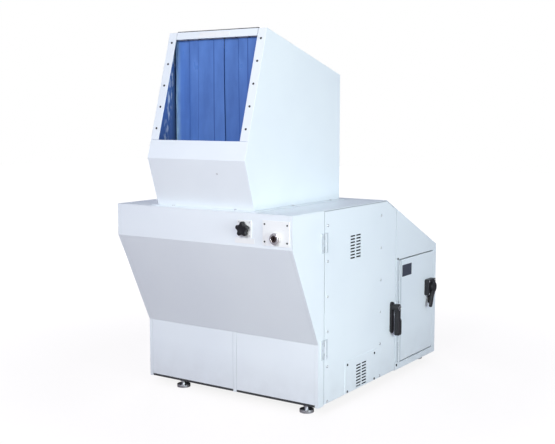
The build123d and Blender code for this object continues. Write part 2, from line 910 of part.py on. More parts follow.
def key_switch_bezel():
    """A faceted collar with a round rim in front of it."""
    front = -plate_thickness - key_bezel_depth
    collar = Pos(key_x, -plate_thickness, key_z) * Rot(90, 0, 0) * extrude(
        RegularPolygon(key_bezel, barrel_side_count), key_bezel_depth - key_bezel_step)
    bezel = collar + drum_y(key_rim, front, -plate_thickness, key_x, key_z)
    return bezel - rod_y(key_barrel + run_fit, front - 1, 0, key_x, key_z)


def key_switch_barrel():
    front = -plate_thickness - key_bezel_depth + 2
    barrel = rod_y(key_barrel, front, sheet * 4, key_x, key_z)
    return barrel - block(key_x - 1.5, key_x + 1.5, front - 1, front + 6, key_z - 7, key_z + 7)


# Cutting chamber

def chamber_side(side):
    x0, x1 = sorted((side * chamber_half, side * (chamber_half + chamber_plate)))
    plate = block(x0, x1, chamber_front, chamber_back, chamber_low, skin_top)
    return plate - drum_x(shaft_radius + shaft_hole_gap, x0 - 1, x1 + 1, rotor_y, rotor_z)


def chamber_cross_wall(front):
    """A cross wall with the ledge that carries the edge of the sizing screen."""
    top = rotor_z - screen_drop - screen_thickness
    low_wall = block(-chamber_half, chamber_half, front, front + chamber_wall, chamber_low, skin_top)
    if front < rotor_y:
        y0 = front + chamber_wall
    else:
        y0 = front - screen_ledge
    return low_wall + block(-chamber_half, chamber_half, y0, y0 + screen_ledge, top - screen_ledge_height, top)


def bed_knife(side):
    """A fixed knife from a cross wall to just outside the circle of the knife tips."""
    wall = rotor_y + side * (chamber_back - chamber_front - 2 * chamber_wall) / 2
    edge = rotor_y + side * (knife_tip + knife_gap)
    high = rotor_z + bed_knife_height / 2
    low = high - bed_knife_height
    points = [(wall, low), (wall, high), (edge, high), (edge + side * knife_bevel, low)]
    return run_x(outline(points), -chamber_half + 1, chamber_half - 1)


def bearing(side):
    face = side * (chamber_half + chamber_plate)
    x0, x1 = sorted((face, face + side * bearing_plate))
    wing = bearing_block / 2
    unit = block(x0, x1, rotor_y - wing, rotor_y + wing, rotor_z - wing, rotor_z + wing)
    b0, b1 = sorted((face, face + side * bearing_length))
    unit += drum_x(bearing_boss, b0, b1, rotor_y, rotor_z)
    return unit - rod_x(shaft_radius + run_fit, b0 - 1, b1 + 1, rotor_y, rotor_z)


def sizing_screen():
    """A half-round sheet under the rotor with square holes and a lip along each edge."""
    reach = chamber_half - 2
    outer = screen_inside + screen_thickness
    top = rotor_z - screen_drop
    shell = drum_x(outer, -reach, reach, rotor_y, rotor_z)
    shell -= drum_x(screen_inside, -reach - 1, reach + 1, rotor_y, rotor_z)
    shell &= block(-reach, reach, rotor_y - outer, rotor_y + outer, rotor_z - outer, top)
    for side in (-1, 1):
        y0, y1 = sorted((rotor_y + side * (screen_inside - 0.2), rotor_y + side * (screen_inside + screen_lip)))
        shell += block(-reach, reach, y0, y1, top - screen_thickness, top)
    holes = []
    flat = 360 / rim_side_count
    for row in range(-5, 6, 2):
        turn = row * flat
        for step in range(-2, 3):
            hole = Pos(step * screen_pitch, 0, -outer) * Box(screen_hole, screen_hole, screen_thickness * 6)
            holes.append(Pos(0, rotor_y, rotor_z) * Rot(turn, 0, 0) * hole)
    return shell - holes


# Rotor: shaft, hub with pockets, staggered knives, pulley and flywheel

def rotor_shaft():
    left = -chamber_half - chamber_plate - flywheel_gap - flywheel_width
    return rod_x(shaft_radius, left - sheet, pulley_x + pulley_width + sheet, rotor_y, rotor_z)


def knife_section(outer_lead, outer_trail):
    """Section of a knife on the rotor axis: root, leading edge and bevelled back."""
    thick = knife_thickness / 2
    return outline([(-thick, knife_root), (-thick, outer_lead), (thick, outer_trail), (thick, knife_root)])


def knife_places():
    """Half-length spans and turns of the knives: one half is set between the rows of the other."""
    length = chamber_half - 15
    pitch = 360 / knife_rows
    for row in range(knife_rows):
        yield -length, -5.0, row * pitch
        yield 5.0, length, (row + 0.5) * pitch


def on_rotor(solid, turn):
    return Pos(0, rotor_y, rotor_z) * Rot(turn, 0, 0) * solid


def fly_knives():
    knives = []
    for x0, x1, turn in knife_places():
        knife = run_x(knife_section(knife_tip - 0.5, knife_tip - knife_bevel), x0, x1)
        knives.append(on_rotor(knife, turn))
    return group(knives)


def rotor_hub():
    reach = chamber_half - 12
    hub = drum_x(rotor_hub_radius, -reach, reach, rotor_y, rotor_z)
    for x0, x1, turn in knife_places():
        pocket = run_x(knife_section(knife_tip, knife_tip), x0, x1)
        hub -= on_rotor(pocket, turn)
    return hub - rod_x(shaft_radius + seat_fit, -reach - 1, reach + 1, rotor_y, rotor_z)


def flywheel():
    x0 = -chamber_half - chamber_plate - flywheel_gap - flywheel_width
    wheel = drum_x(flywheel_radius, x0, x0 + flywheel_width, rotor_y, rotor_z)
    return wheel - rod_x(shaft_radius + seat_fit, x0 - 1, x0 + flywheel_width + 1, rotor_y, rotor_z)


# Drive: grooved pulleys, belts and motor

def groove_middle(i):
    return pulley_x + pulley_width / 2 + (i - (belt_count - 1) / 2) * groove_pitch


def pulley(radius, bore, y, z):
    wheel = drum_x(radius, pulley_x, pulley_x + pulley_width, y, z)
    for i in range(belt_count):
        mid = groove_middle(i)
        wide = belt_width / 2 + belt_clear
        ring = drum_x(radius + 1, mid - wide, mid + wide, y, z)
        ring -= drum_x(radius - groove_depth, mid - wide, mid + wide, y, z)
        wheel -= ring
    return wheel - rod_x(bore + seat_fit, pulley_x - 1, pulley_x + pulley_width + 1, y, z)


def belt_outline(extra):
    """The outline of a loop around both pulleys, a distance extra above the groove bottoms."""
    r0 = rotor_pulley_radius - groove_depth + extra
    r1 = motor_pulley_radius - groove_depth + extra
    along = math.hypot(motor_y - rotor_y, motor_z - rotor_z)
    lean = math.atan2(motor_z - rotor_z, motor_y - rotor_y)
    open_angle = math.acos((r0 - r1) / along)
    corners = []
    for angle in (lean + open_angle, lean - open_angle):
        big = (rotor_y + r0 * math.cos(angle), rotor_z + r0 * math.sin(angle))
        small = (motor_y + r1 * math.cos(angle), motor_z + r1 * math.sin(angle))
        corners.append((big, small))
    quad = [corners[0][0], corners[0][1], corners[1][1], corners[1][0]]
    return quad, r0, r1


def belt_fill(extra, x0, x1):
    quad, r0, r1 = belt_outline(extra)
    fill = run_x(outline(quad), x0, x1)
    fill += drum_x(r0, x0, x1, rotor_y, rotor_z)
    return fill + drum_x(r1, x0, x1, motor_y, motor_z)


def v_belts():
    belts = []
    for i in range(belt_count):
        x0 = groove_middle(i) - belt_width / 2
        outer = belt_fill(belt_clear + belt_thickness, x0, x0 + belt_width)
        belts.append(outer - belt_fill(belt_clear, x0, x0 + belt_width))
    return group(belts)


def motor_body():
    """A finned motor with end covers, a foot, a saddle and a terminal box."""
    left = motor_face - motor_length
    core = motor_radius - motor_fin_height
    body = drum_x(core, left, motor_face, motor_y, motor_z)
    fin = block(left + motor_fan_cover, motor_face - motor_drive_end, -motor_fin_width / 2, motor_fin_width / 2,
                core - motor_end_step, motor_radius)
    for i in range(motor_fin_count):
        body += Pos(0, motor_y, motor_z) * Rot(i * 360 / motor_fin_count, 0, 0) * fin
    body += drum_x(motor_radius, left, left + motor_fan_cover, motor_y, motor_z)
    foot = motor_foot_width / 2
    body += block(left + motor_foot_inset, motor_face - motor_foot_inset, motor_y - foot, motor_y + foot,
                  base_top, base_top + motor_foot_height)
    saddle = motor_saddle_width / 2
    body += block(left + motor_foot_inset, motor_face - motor_foot_inset, motor_y - saddle, motor_y + saddle,
                  base_top, motor_z)
    lid = terminal_box_width / 2
    body += block(left + terminal_box_inset, motor_face - terminal_box_inset, motor_y - lid, motor_y + lid,
                  motor_z, motor_z + motor_radius + terminal_box_rise)
    return body - rod_x(motor_shaft_radius + run_fit, motor_face - motor_bearing_depth, motor_face + 1,
                        motor_y, motor_z)


def motor_shaft():
    start = motor_face - motor_bearing_depth + moving_gap
    return rod_x(motor_shaft_radius, start, pulley_x + pulley_width + sheet, motor_y, motor_z)


# Bin and electrical box

def waste_bin():
    front = post_front + post + bin_side_gap
    back = post_back - bin_side_gap
    tub = block(bin_left, bin_right, front, back, base_top, bin_top)
    tub -= block(bin_left + bin_wall, bin_right - bin_wall, front + bin_wall, back - bin_wall,
                 base_top + bin_wall, bin_top)
    mid = (front + back) / 2
    grip_top = bin_top - bin_grip_drop
    wing = bin_grip_width / 2
    grip = block(bin_right, bin_right + bin_grip_reach, mid - wing, mid + wing, grip_top - bin_grip_bar, grip_top)
    grip -= block(bin_right, bin_right + bin_grip_reach - bin_grip_bar / 2, mid - wing + bin_grip_bar,
                  mid + wing - bin_grip_bar, grip_top - bin_grip_bar, grip_top)
    return tub + grip


def electrical_box():
    wall = -half + sheet
    box = block(wall, wall + box_depth, box_front, box_back, box_low, box_high)
    lid = block(wall + box_depth, wall + box_depth + plate_thickness, box_front - box_lid_lip,
                box_back + box_lid_lip, box_low - box_lid_lip, box_high + box_lid_lip)
    return box + lid


def pieces():
    """Every named piece of the machine in the cabinet's own axes."""
    return {
        "base_frame": base_frame(),
        "levelling_feet": levelling_feet(),
        "chamber_frame": chamber_frame(),
        "left_side_panel": left_side_panel(),
        "right_front_panel": right_front_panel(),
        "rear_side_frame": rear_side_frame(),
        "front_panel": front_panel(),
        "lower_front_panels": lower_front_panels(),
        "front_centre_strip": front_centre_strip(),
        "top_deck": top_deck(),
        "rear_slope_cover": rear_slope_cover(),
        "rear_panel": rear_panel(),
        "cable_gland": cable_gland(),
        "side_hinge_frame_leaves": butt_hinges(hinge_frame_leaf),
        "rear_hinge_frame_leaf": long_hinge(hinge_frame_leaf),
        "hopper_hinge_brackets": group([hopper_hinge_bracket(-tilt_hinge_x), hopper_hinge_bracket(tilt_hinge_x)]),
        "main_switch_plate": main_switch_plate(),
        "switch_legend_plate": switch_legend_plate(),
        "key_switch_plate": key_switch_plate(),
        "key_switch_bezel": key_switch_bezel(),
        "chamber_side_plates": group([chamber_side(-1), chamber_side(1)]),
        "chamber_cross_walls": group([chamber_cross_wall(chamber_front),
                                      chamber_cross_wall(chamber_back - chamber_wall)]),
        "bed_knives": group([bed_knife(-1), bed_knife(1)]),
        "rotor_bearings": group([bearing(-1), bearing(1)]),
        "sizing_screen": sizing_screen(),
        "waste_bin": waste_bin(),
        "electrical_box": electrical_box(),
        "motor_body": motor_body(),
        "v_belts": v_belts(),
        "side_door": side_door(),
        "lower_vent_plate": lower_vent_plate(),
        "side_hinge_door_leaves": butt_hinges(hinge_door_leaf),
        "side_latch_base": side_latch_base(),
        "side_latch_lever": side_latch_lever(),
        "rear_door": rear_door(),
        "rear_hinge_door_leaf": long_hinge(hinge_door_leaf),
        "rear_door_plate": rear_door_plate(),
        "rear_latch_base": rear_latch_base(),
        "rear_latch_lever": rear_latch_lever(),
        "hopper_left_wall": hopper_wall(-1),
        "hopper_right_wall": hopper_wall(1),
        "hopper_top_panel": hopper_top_panel(),
        "hopper_lower_front": hopper_lower_front(),
        "hopper_back_panel": hopper_back_panel(),
        "hopper_base_flange": hopper_base_flange(),
        "hopper_hinge_arms": group([hopper_hinge_arm(-tilt_hinge_x), hopper_hinge_arm(tilt_hinge_x)]),
        "top_edge_trim": top_edge_trim(),
        "hopper_liners": group([hopper_liner(-1), hopper_liner(1)]),
        "curtain_rail": curtain_rail(),
        "curtain_clips": group([curtain_clip(i) for i in range(strip_count)]),
        "curtain_strips": group([curtain_strip(i) for i in range(strip_count)]),
        "rotor_shaft": rotor_shaft(),
        "rotor_hub": rotor_hub(),
        "fly_knives": fly_knives(),
        "rotor_pulley": pulley(rotor_pulley_radius, shaft_radius, rotor_y, rotor_z),
        "flywheel": flywheel(),
        "motor_shaft": motor_shaft(),
        "motor_pulley": pulley(motor_pulley_radius, motor_shaft_radius, motor_y, motor_z),
        "main_switch_knob": main_switch_knob(),
        "key_switch_barrel": key_switch_barrel(),
    }


def main():
    os.makedirs("parts", exist_ok=True)
    centre = Pos(-mid_x, -mid_y, 0)
    for name, shape in pieces().items():
        export_step(centre * shape, f"parts/{name}.step")
        print(name)


if __name__ == "__main__":
    main()
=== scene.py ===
# %% [markdown]
# # A white sheet-metal disintegrator
# The machine cuts discs, cards and boards into chips. A leaning hopper with a blue strip curtain stands on a cabinet,
# and the knives, belts and bin are behind two doors. The exact shapes come from the CAD model, which is loaded as a
# fixed frame. This script only dresses it: finishes, fasteners, soft strips, light and a camera.

# %% Load the CAD frame
import json
import math
import random

import bmesh
import bpy
from mathutils import Matrix, Vector


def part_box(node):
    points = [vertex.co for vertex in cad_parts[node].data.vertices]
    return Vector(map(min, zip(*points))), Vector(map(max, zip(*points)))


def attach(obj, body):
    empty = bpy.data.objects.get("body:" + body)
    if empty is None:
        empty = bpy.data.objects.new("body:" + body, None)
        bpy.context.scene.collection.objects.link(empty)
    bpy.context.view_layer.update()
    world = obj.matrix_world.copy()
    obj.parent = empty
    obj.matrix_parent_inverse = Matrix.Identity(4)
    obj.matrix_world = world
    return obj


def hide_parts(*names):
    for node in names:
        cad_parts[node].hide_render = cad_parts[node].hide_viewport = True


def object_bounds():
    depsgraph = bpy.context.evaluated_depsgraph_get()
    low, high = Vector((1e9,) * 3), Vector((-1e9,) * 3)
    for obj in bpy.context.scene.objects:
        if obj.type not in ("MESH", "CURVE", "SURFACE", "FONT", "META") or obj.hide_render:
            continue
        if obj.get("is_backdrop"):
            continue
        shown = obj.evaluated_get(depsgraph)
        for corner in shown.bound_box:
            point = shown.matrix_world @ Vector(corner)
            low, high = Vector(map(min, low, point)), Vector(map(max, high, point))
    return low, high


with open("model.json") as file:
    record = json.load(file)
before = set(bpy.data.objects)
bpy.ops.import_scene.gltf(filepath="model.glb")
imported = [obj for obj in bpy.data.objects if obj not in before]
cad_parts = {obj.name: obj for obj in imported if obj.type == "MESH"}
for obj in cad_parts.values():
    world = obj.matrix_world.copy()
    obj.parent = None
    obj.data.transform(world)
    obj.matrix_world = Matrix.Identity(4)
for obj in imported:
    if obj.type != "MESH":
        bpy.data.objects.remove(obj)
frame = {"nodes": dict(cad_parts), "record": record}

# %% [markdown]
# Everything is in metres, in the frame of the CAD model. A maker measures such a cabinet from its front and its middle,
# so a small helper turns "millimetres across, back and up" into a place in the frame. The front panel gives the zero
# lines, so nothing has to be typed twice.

cad_low, cad_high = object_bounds()
nodes = frame["nodes"]
panel_low, panel_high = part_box("front_panel")
middle_x = (panel_low.x + panel_high.x) / 2
front_y = panel_low.y


def place(across, back, up):
    return Vector((middle_x + across / 1000, front_y + back / 1000, up / 1000))


print("machine", [round(c, 3) for c in cad_high - cad_low], "middle", round(middle_x, 4), "front", round(front_y, 4))

# %% [markdown]
# The camera stands to the right of the front at chest height and looks a little down. A long lens from a few metres
# away keeps the vertical edges nearly parallel, as in a catalogue picture. The numbers come from fitting a pinhole
# camera to the corners of the cabinet and the hopper.

# %% Camera
looks_down, turned_left = 6.64, 33.84
camera_data = bpy.data.cameras.new("catalogue_lens")
camera_data.lens = 60.89
camera_data.sensor_width = 36.0
camera_data.sensor_fit = "HORIZONTAL"
camera = bpy.data.objects.new("catalogue_camera", camera_data)
camera.location = place(2214.8, -2772.2, 1146.83)
camera.rotation_euler = (math.radians(90 - looks_down), 0, math.radians(turned_left))
bpy.context.scene.collection.objects.link(camera)
bpy.context.scene.camera = camera
bpy.context.scene.view_settings.view_transform = "Standard"
print("camera", [round(c, 3) for c in camera.location])

# %% [markdown]
# Materials are graphs of small nodes. A few short helpers keep the graphs readable: one makes a material, one adds a
# noise that is fixed to the object, one maps a value to a range and one blends two colours. Noise is measured in waves
# per metre here, because the object is in metres. It stays mostly between 0.3 and 0.7, so another helper stretches that
# part of it over the range that is wanted. A mix node has sockets for numbers, vectors and colours under the same
# names, so its colour sockets are picked by their place in the list.

# %% Node helpers
noise_low, noise_high = 0.3, 0.7
mix_first, mix_second, mix_result = 6, 7, 2


def new_material(name):
    made = bpy.data.materials.new(name)
    made.use_nodes = True
    tree = made.node_tree
    return made, tree, tree.nodes["Principled BSDF"]


def add(tree, kind, **settings):
    made = tree.nodes.new("ShaderNode" + kind)
    for key, value in settings.items():
        setattr(made, key, value)
    return made


def wire(tree, source, target):
    tree.links.new(source, target)


def grain(tree, scale, detail=2.0, stretch=(1, 1, 1)):
    where = add(tree, "TexCoord")
    mapping = add(tree, "Mapping")
    mapping.inputs["Scale"].default_value = stretch
    wire(tree, where.outputs["Object"], mapping.inputs["Vector"])
    texture = add(tree, "TexNoise")
    texture.inputs["Scale"].default_value = scale
    texture.inputs["Detail"].default_value = detail
    wire(tree, mapping.outputs["Vector"], texture.inputs["Vector"])
    return texture.outputs["Fac"]


def spread(tree, value, from_low, from_high, to_low, to_high):
    made = add(tree, "MapRange")
    for name, number in (("From Min", from_low), ("From Max", from_high), ("To Min", to_low), ("To Max", to_high)):
        made.inputs[name].default_value = number
    wire(tree, value, made.inputs["Value"])
    return made.outputs["Result"]


def vary(tree, noise, low, high):
    return spread(tree, noise, noise_low, noise_high, low, high)


def blend(tree, amount, first, second):
    made = add(tree, "Mix", data_type="RGBA")
    wire(tree, amount, made.inputs["Factor"])
    for socket, colour in ((made.inputs[mix_first], first), (made.inputs[mix_second], second)):
        if isinstance(colour, tuple):
            socket.default_value = colour + (1.0,)
        else:
            wire(tree, colour, socket)
    return made.outputs[mix_result]


def times(tree, first, second):
    made = add(tree, "Math", operation="MULTIPLY")
    for socket, value in zip(made.inputs, (first, second)):
        if isinstance(value, float):
            socket.default_value = value
        else:
            wire(tree, value, socket)
    return made.outputs[0]


def relief(tree, shader, height, depth, strength=1.0):
    made = add(tree, "Bump")
    made.inputs["Strength"].default_value = strength
    made.inputs["Distance"].default_value = depth
    wire(tree, height, made.inputs["Height"])
    wire(tree, made.outputs["Normal"], shader.inputs["Normal"])


def distance_from(tree, value, centre):
    off = add(tree, "Math", operation="SUBTRACT")
    wire(tree, value, off.inputs[0])
    off.inputs[1].default_value = centre
    away = add(tree, "Math", operation="ABSOLUTE")
    wire(tree, off.outputs[0], away.inputs[0])
    return away.outputs[0]


def place_value(tree, axis):
    where = add(tree, "TexCoord")
    parts = add(tree, "SeparateXYZ")
    wire(tree, where.outputs["Object"], parts.inputs[0])
    return parts.outputs[axis]


def edge_mask(tree, radius):
    rounded = add(tree, "Bevel", samples=4)
    rounded.inputs["Radius"].default_value = radius
    flat = add(tree, "NewGeometry")
    turn = add(tree, "VectorMath", operation="DOT_PRODUCT")
    wire(tree, rounded.outputs[0], turn.inputs[0])
    wire(tree, flat.outputs["Normal"], turn.inputs[1])
    flat_cosine, edge_cosine = 0.995, 0.86
    return spread(tree, turn.outputs["Value"], flat_cosine, edge_cosine, 0.0, 1.0)


# Painted shade: an occlusion node finds narrow hollows so that the colour can be darkened there.
def painted_hollow_shade(tree, reach, deep, open_):
    hollow = add(tree, "AmbientOcclusion", samples=8, only_local=True)
    hollow.inputs["Distance"].default_value = reach
    return spread(tree, hollow.outputs["AO"], deep, open_, 1.0, 0.0)


finishes = {}
print("helpers ready")

# %% [markdown]
# White baked paint covers the whole machine. It is not one white: the coat is a little thicker here and there, so the
# colour drifts over a hand's width, and the skin has a fine orange peel that softens reflections. Low down a trace of
# dust settles. Narrow hollows such as seams and vent slots get painted shade: an occlusion node darkens the colour
# where shade falls. The same recipe also makes the dark frame paint and the grey machine paint.

# %% Baked paint
dust_full, dust_gone = 0.03, 0.20
worn_edge, hollow_shade_reach, peel_waves = 0.0012, 0.010, 620.0


def baked_paint(name, thick, thin, rough, dust=None):
    made, tree, shader = new_material(name)
    drift = grain(tree, 2.4, 3.0)
    colour = blend(tree, spread(tree, drift, 0.35, 0.65, 0.0, 1.0), thin, thick)
    if dust:
        low = spread(tree, place_value(tree, 2), dust_full, dust_gone, 0.55, 0.0)
        colour = blend(tree, times(tree, low, grain(tree, 17.0, 4.0)), colour, dust)
    worn = times(tree, edge_mask(tree, worn_edge), grain(tree, 60.0, 3.0))
    colour = blend(tree, times(tree, worn, 0.30), colour, tuple(0.72 * c for c in thin))
    # Painted shade: the colour turns nearly black in narrow hollows, where shade falls.
    shade = times(tree, painted_hollow_shade(tree, hollow_shade_reach, 0.28, 0.62), 0.9)
    colour = blend(tree, shade, colour, tuple(0.06 * c for c in thin))
    wire(tree, colour, shader.inputs["Base Color"])
    wire(tree, vary(tree, grain(tree, 8.0, 3.0), rough - 0.05, rough + 0.06), shader.inputs["Roughness"])
    relief(tree, shader, grain(tree, peel_waves, 1.0), 0.00025, 0.35)
    finishes[name] = made


baked_paint("white_paint", (0.825, 0.88, 0.91), (0.795, 0.85, 0.89), 0.40, dust=(0.55, 0.56, 0.58))
baked_paint("hinge_paint", (0.64, 0.685, 0.72), (0.58, 0.63, 0.67), 0.46)
baked_paint("dark_frame_paint", (0.030, 0.032, 0.036), (0.022, 0.024, 0.028), 0.50, dust=(0.10, 0.10, 0.10))
baked_paint("grey_machine_paint", (0.20, 0.22, 0.24), (0.16, 0.18, 0.20), 0.45, dust=(0.14, 0.14, 0.14))
print("paints", sorted(finishes))

# %% [markdown]
# Bare metals differ in how they were made. Rolled zinc-plated steel has faint lines along the sheet. Ground tool steel
# has finer and sharper lines. Cast iron is dark and grainy. Galvanised sheet shows flat crystals, which a cell pattern
# gives. Steel and zinc are fully metallic and dark cast iron is less so. The roughness changes along the lines
# rather than staying at one value.

# %% Metals
def lined_metal(name, light, dark, rough, stretch, scale):
    made, tree, shader = new_material(name)
    lines = grain(tree, scale, 3.0, stretch)
    tone = blend(tree, vary(tree, lines, 0.0, 1.0), dark, light)
    wire(tree, tone, shader.inputs["Base Color"])
    shader.inputs["Metallic"].default_value = 1.0
    wire(tree, vary(tree, lines, rough - 0.08, rough + 0.08), shader.inputs["Roughness"])
    relief(tree, shader, lines, 0.0002, 0.25)
    finishes[name] = made


def cast_metal(name, light, dark):
    made, tree, shader = new_material(name)
    sand = grain(tree, 240.0, 4.0)
    wire(tree, blend(tree, sand, dark, light), shader.inputs["Base Color"])
    shader.inputs["Metallic"].default_value = 0.7
    wire(tree, vary(tree, sand, 0.52, 0.70), shader.inputs["Roughness"])
    relief(tree, shader, sand, 0.0006, 0.6)
    finishes[name] = made


def spangled_metal(name, light, dark):
    made, tree, shader = new_material(name)
    where = add(tree, "TexCoord")
    cells = add(tree, "TexVoronoi")
    crystals_per_metre = 95.0
    cells.inputs["Scale"].default_value = crystals_per_metre
    wire(tree, where.outputs["Object"], cells.inputs["Vector"])
    pick = add(tree, "SeparateColor")
    wire(tree, cells.outputs["Color"], pick.inputs[0])
    wire(tree, blend(tree, pick.outputs[0], dark, light), shader.inputs["Base Color"])
    shader.inputs["Metallic"].default_value = 1.0
    wire(tree, spread(tree, pick.outputs[1], 0.0, 1.0, 0.34, 0.55), shader.inputs["Roughness"])
    finishes[name] = made


lined_metal("zinc_steel", (0.66, 0.67, 0.69), (0.52, 0.54, 0.57), 0.34, (1, 1, 14), 60.0)
lined_metal("tool_steel", (0.58, 0.59, 0.61), (0.40, 0.42, 0.45), 0.26, (18, 1, 1), 110.0)
cast_metal("cast_iron", (0.11, 0.11, 0.12), (0.05, 0.05, 0.055))
spangled_metal("galvanised", (0.66, 0.69, 0.72), (0.48, 0.51, 0.55))
print("metals", sorted(finishes))

# %% [markdown]
# The latches and the knob are black. Moulded and cast black parts are never pure black: a matt skin scatters light, and
# corners that hands touch turn smooth and a little paler. A rounded-normal trick finds those corners without any
# painted mask: where the softened normal leaves the flat one, there is an edge.

# %% Black parts, plates and the bright switch ring
touched_edge = 0.0016


def black_part(name, deep, worn, rough):
    made, tree, shader = new_material(name)
    touch = times(tree, edge_mask(tree, touched_edge), grain(tree, 90.0, 3.0))
    wire(tree, blend(tree, touch, deep, worn), shader.inputs["Base Color"])
    matt = grain(tree, 900.0, 2.0)
    wire(tree, vary(tree, grain(tree, 35.0, 2.0), rough - 0.07, rough + 0.07), shader.inputs["Roughness"])
    relief(tree, shader, matt, 0.0003, 0.4)
    finishes[name] = made


def small_plate(name, light, dark, rough, metallic):
    made, tree, shader = new_material(name)
    streak = grain(tree, 45.0, 3.0, (1, 1, 5))
    wire(tree, blend(tree, streak, dark, light), shader.inputs["Base Color"])
    shader.inputs["Metallic"].default_value = metallic
    wire(tree, vary(tree, streak, rough - 0.06, rough + 0.06), shader.inputs["Roughness"])
    finishes[name] = made


black_part("black_latch", (0.010, 0.010, 0.012), (0.075, 0.075, 0.08), 0.42)
black_part("black_plastic", (0.008, 0.008, 0.010), (0.045, 0.045, 0.05), 0.36)
small_plate("white_plate", (0.88, 0.895, 0.89), (0.84, 0.86, 0.86), 0.32, 0.0)
small_plate("grey_plate", (0.075, 0.085, 0.115), (0.040, 0.048, 0.070), 0.38, 0.2)
small_plate("chrome_bezel", (0.95, 0.94, 0.93), (0.80, 0.76, 0.74), 0.16, 0.85)
small_plate("dark_chrome", (0.26, 0.20, 0.18), (0.10, 0.07, 0.06), 0.20, 1.0)
print("small finishes", sorted(finishes))

# %% [markdown]
# The strips are soft blue vinyl: smooth and slightly glossy. Their rims are deeper in colour, partly as vinyl is and
# partly as painted shade where the strips meet, and the cut edge is painted nearly black as shade. The vinyl is a
# little clear, so the edge of a strip behind shows through as a line. The left rim of the first strip gets a pale
# painted glint, a painted reflection on crumpled vinyl. Beside the strips the hopper walls are lined with glossy blue
# sheet, with a painted reflection along one pale, leaning line of crumpled glints. The feet and belts are rubber, which
# is matt and finely rough.

# %% Vinyl, liner and rubber
vinyl_blue, vinyl_deep = (0.106, 0.233, 0.600), (0.039, 0.101, 0.34)
rim_wide, rim_end, rim_strength = 0.0037, 0.0003, 0.75
cut_start, cut_full = 0.00025, 0.0001
lap_core, lap_fade = 0.0012, 0.0028
rim_glint_wide = 0.0305
cad_strip_half = 0.0395


def strip_vinyl(name, half, laps=(), rim_glint=None):
    made, tree, shader = new_material(name)
    across = place_value(tree, 0)
    side = add(tree, "Math", operation="ABSOLUTE")
    wire(tree, across, side.inputs[0])
    # Partly painted shade: the rims turn deeper blue where strips meet, and vinyl also looks deeper along its rims.
    rim = spread(tree, side.outputs[0], half - rim_wide, half - rim_end, 0.0, rim_strength)
    # Painted shade: the cut edge faces are painted nearly black.
    cut = spread(tree, side.outputs[0], half - cut_start, half - cut_full, 0.0, 0.85)
    cloud = grain(tree, 7.0, 3.0, (3, 1, 1))
    tone = blend(tree, vary(tree, cloud, 0.0, 0.5), vinyl_blue, vinyl_deep)
    for lap, strength in laps:
        line = spread(tree, distance_from(tree, across, lap), lap_core, lap_fade, strength, 0.0)
        tone = blend(tree, line, tone, vinyl_deep)
    tone = blend(tree, cut, blend(tree, rim, tone, vinyl_deep), tuple(0.25 * c for c in vinyl_deep))
    # Painted reflection: a pale, patchy glint along the left rim of the first strip.
    if rim_glint:
        near = spread(tree, across, -half, rim_glint_wide - half, 1.0, 0.0)
        patchy = spread(tree, grain(tree, 46.0, 3.0, (2.2, 1, 0.5)), 0.35, 0.65, 0.50, 1.0)
        tone = blend(tree, times(tree, times(tree, near, near), patchy), tone, rim_glint)
    wire(tree, tone, shader.inputs["Base Color"])
    wire(tree, vary(tree, cloud, 0.26, 0.40), shader.inputs["Roughness"])
    wire(tree, spread(tree, rim, 0.0, rim_strength, 0.5, 0.0), shader.inputs["Specular IOR Level"])
    relief(tree, shader, grain(tree, 26.0, 2.0, (2, 1, 0.4)), 0.0012, 0.5)
    finishes[name] = made


# Slope and start of the line along which the liner's painted reflection runs.
glint_lean, glint_start = -0.190, 0.737


def glossy_liner(name, light, dark, glint):
    made, tree, shader = new_material(name)
    wave = grain(tree, 9.0, 2.0, (1, 1, 0.4))
    colour = blend(tree, wave, dark, light)
    # Painted reflection: a pale, crumpled glint along a leaning line on the liner.
    lean = add(tree, "Math", operation="MULTIPLY_ADD")
    wire(tree, place_value(tree, 2), lean.inputs[0])
    lean.inputs[1].default_value = glint_lean
    lean.inputs[2].default_value = glint_start
    off = add(tree, "Math", operation="ADD")
    wire(tree, place_value(tree, 1), off.inputs[0])
    wire(tree, lean.outputs[0], off.inputs[1])
    away = add(tree, "Math", operation="ABSOLUTE")
    wire(tree, off.outputs[0], away.inputs[0])
    band = spread(tree, away.outputs[0], 0.007, 0.022, 1.0, 0.0)
    glint_speckle = spread(tree, grain(tree, 46.0, 3.0, (1, 2.2, 0.5)), 0.52, 0.66, 0.0, 1.0)
    wire(tree, blend(tree, times(tree, band, glint_speckle), colour, glint), shader.inputs["Base Color"])
    wire(tree, vary(tree, wave, 0.12, 0.22), shader.inputs["Roughness"])
    relief(tree, shader, wave, 0.004, 0.4)
    finishes[name] = made


def rubber(name, light, dark):
    made, tree, shader = new_material(name)
    dusty = grain(tree, 120.0, 4.0)
    wire(tree, blend(tree, dusty, dark, light), shader.inputs["Base Color"])
    wire(tree, vary(tree, dusty, 0.62, 0.82), shader.inputs["Roughness"])
    relief(tree, shader, dusty, 0.0004, 0.5)
    finishes[name] = made


strip_vinyl("blue_vinyl", cad_strip_half)
glossy_liner("navy_liner", (0.110, 0.215, 0.55), (0.055, 0.115, 0.33), (0.62, 0.72, 0.86))
rubber("grey_rubber", (0.060, 0.060, 0.064), (0.030, 0.030, 0.033))
rubber("belt_rubber", (0.026, 0.026, 0.028), (0.014, 0.014, 0.016))
rubber("shade_black_foam", (0.006, 0.006, 0.007), (0.002, 0.002, 0.002))
# Partly painted shade: the foam is near black with almost no gloss, so the vent slots read as shade.
finishes["shade_black_foam"].node_tree.nodes["Principled BSDF"].inputs["Specular IOR Level"].default_value = 0.05
print("finishes", len(finishes))

# %% [markdown]
# Each CAD piece names its finish in the record. Folded sheet is never razor sharp, so a small bevel catches the light
# along every edge. The bevel is a modifier, so the CAD mesh keeps its shape, and only its shading is made smooth.
# Coplanar triangles are joined first, or the bevel would run along lines that the real sheet does not have.

# %% Dress the CAD pieces
fold_bevel, plate_bevel = 0.0009, 0.0004


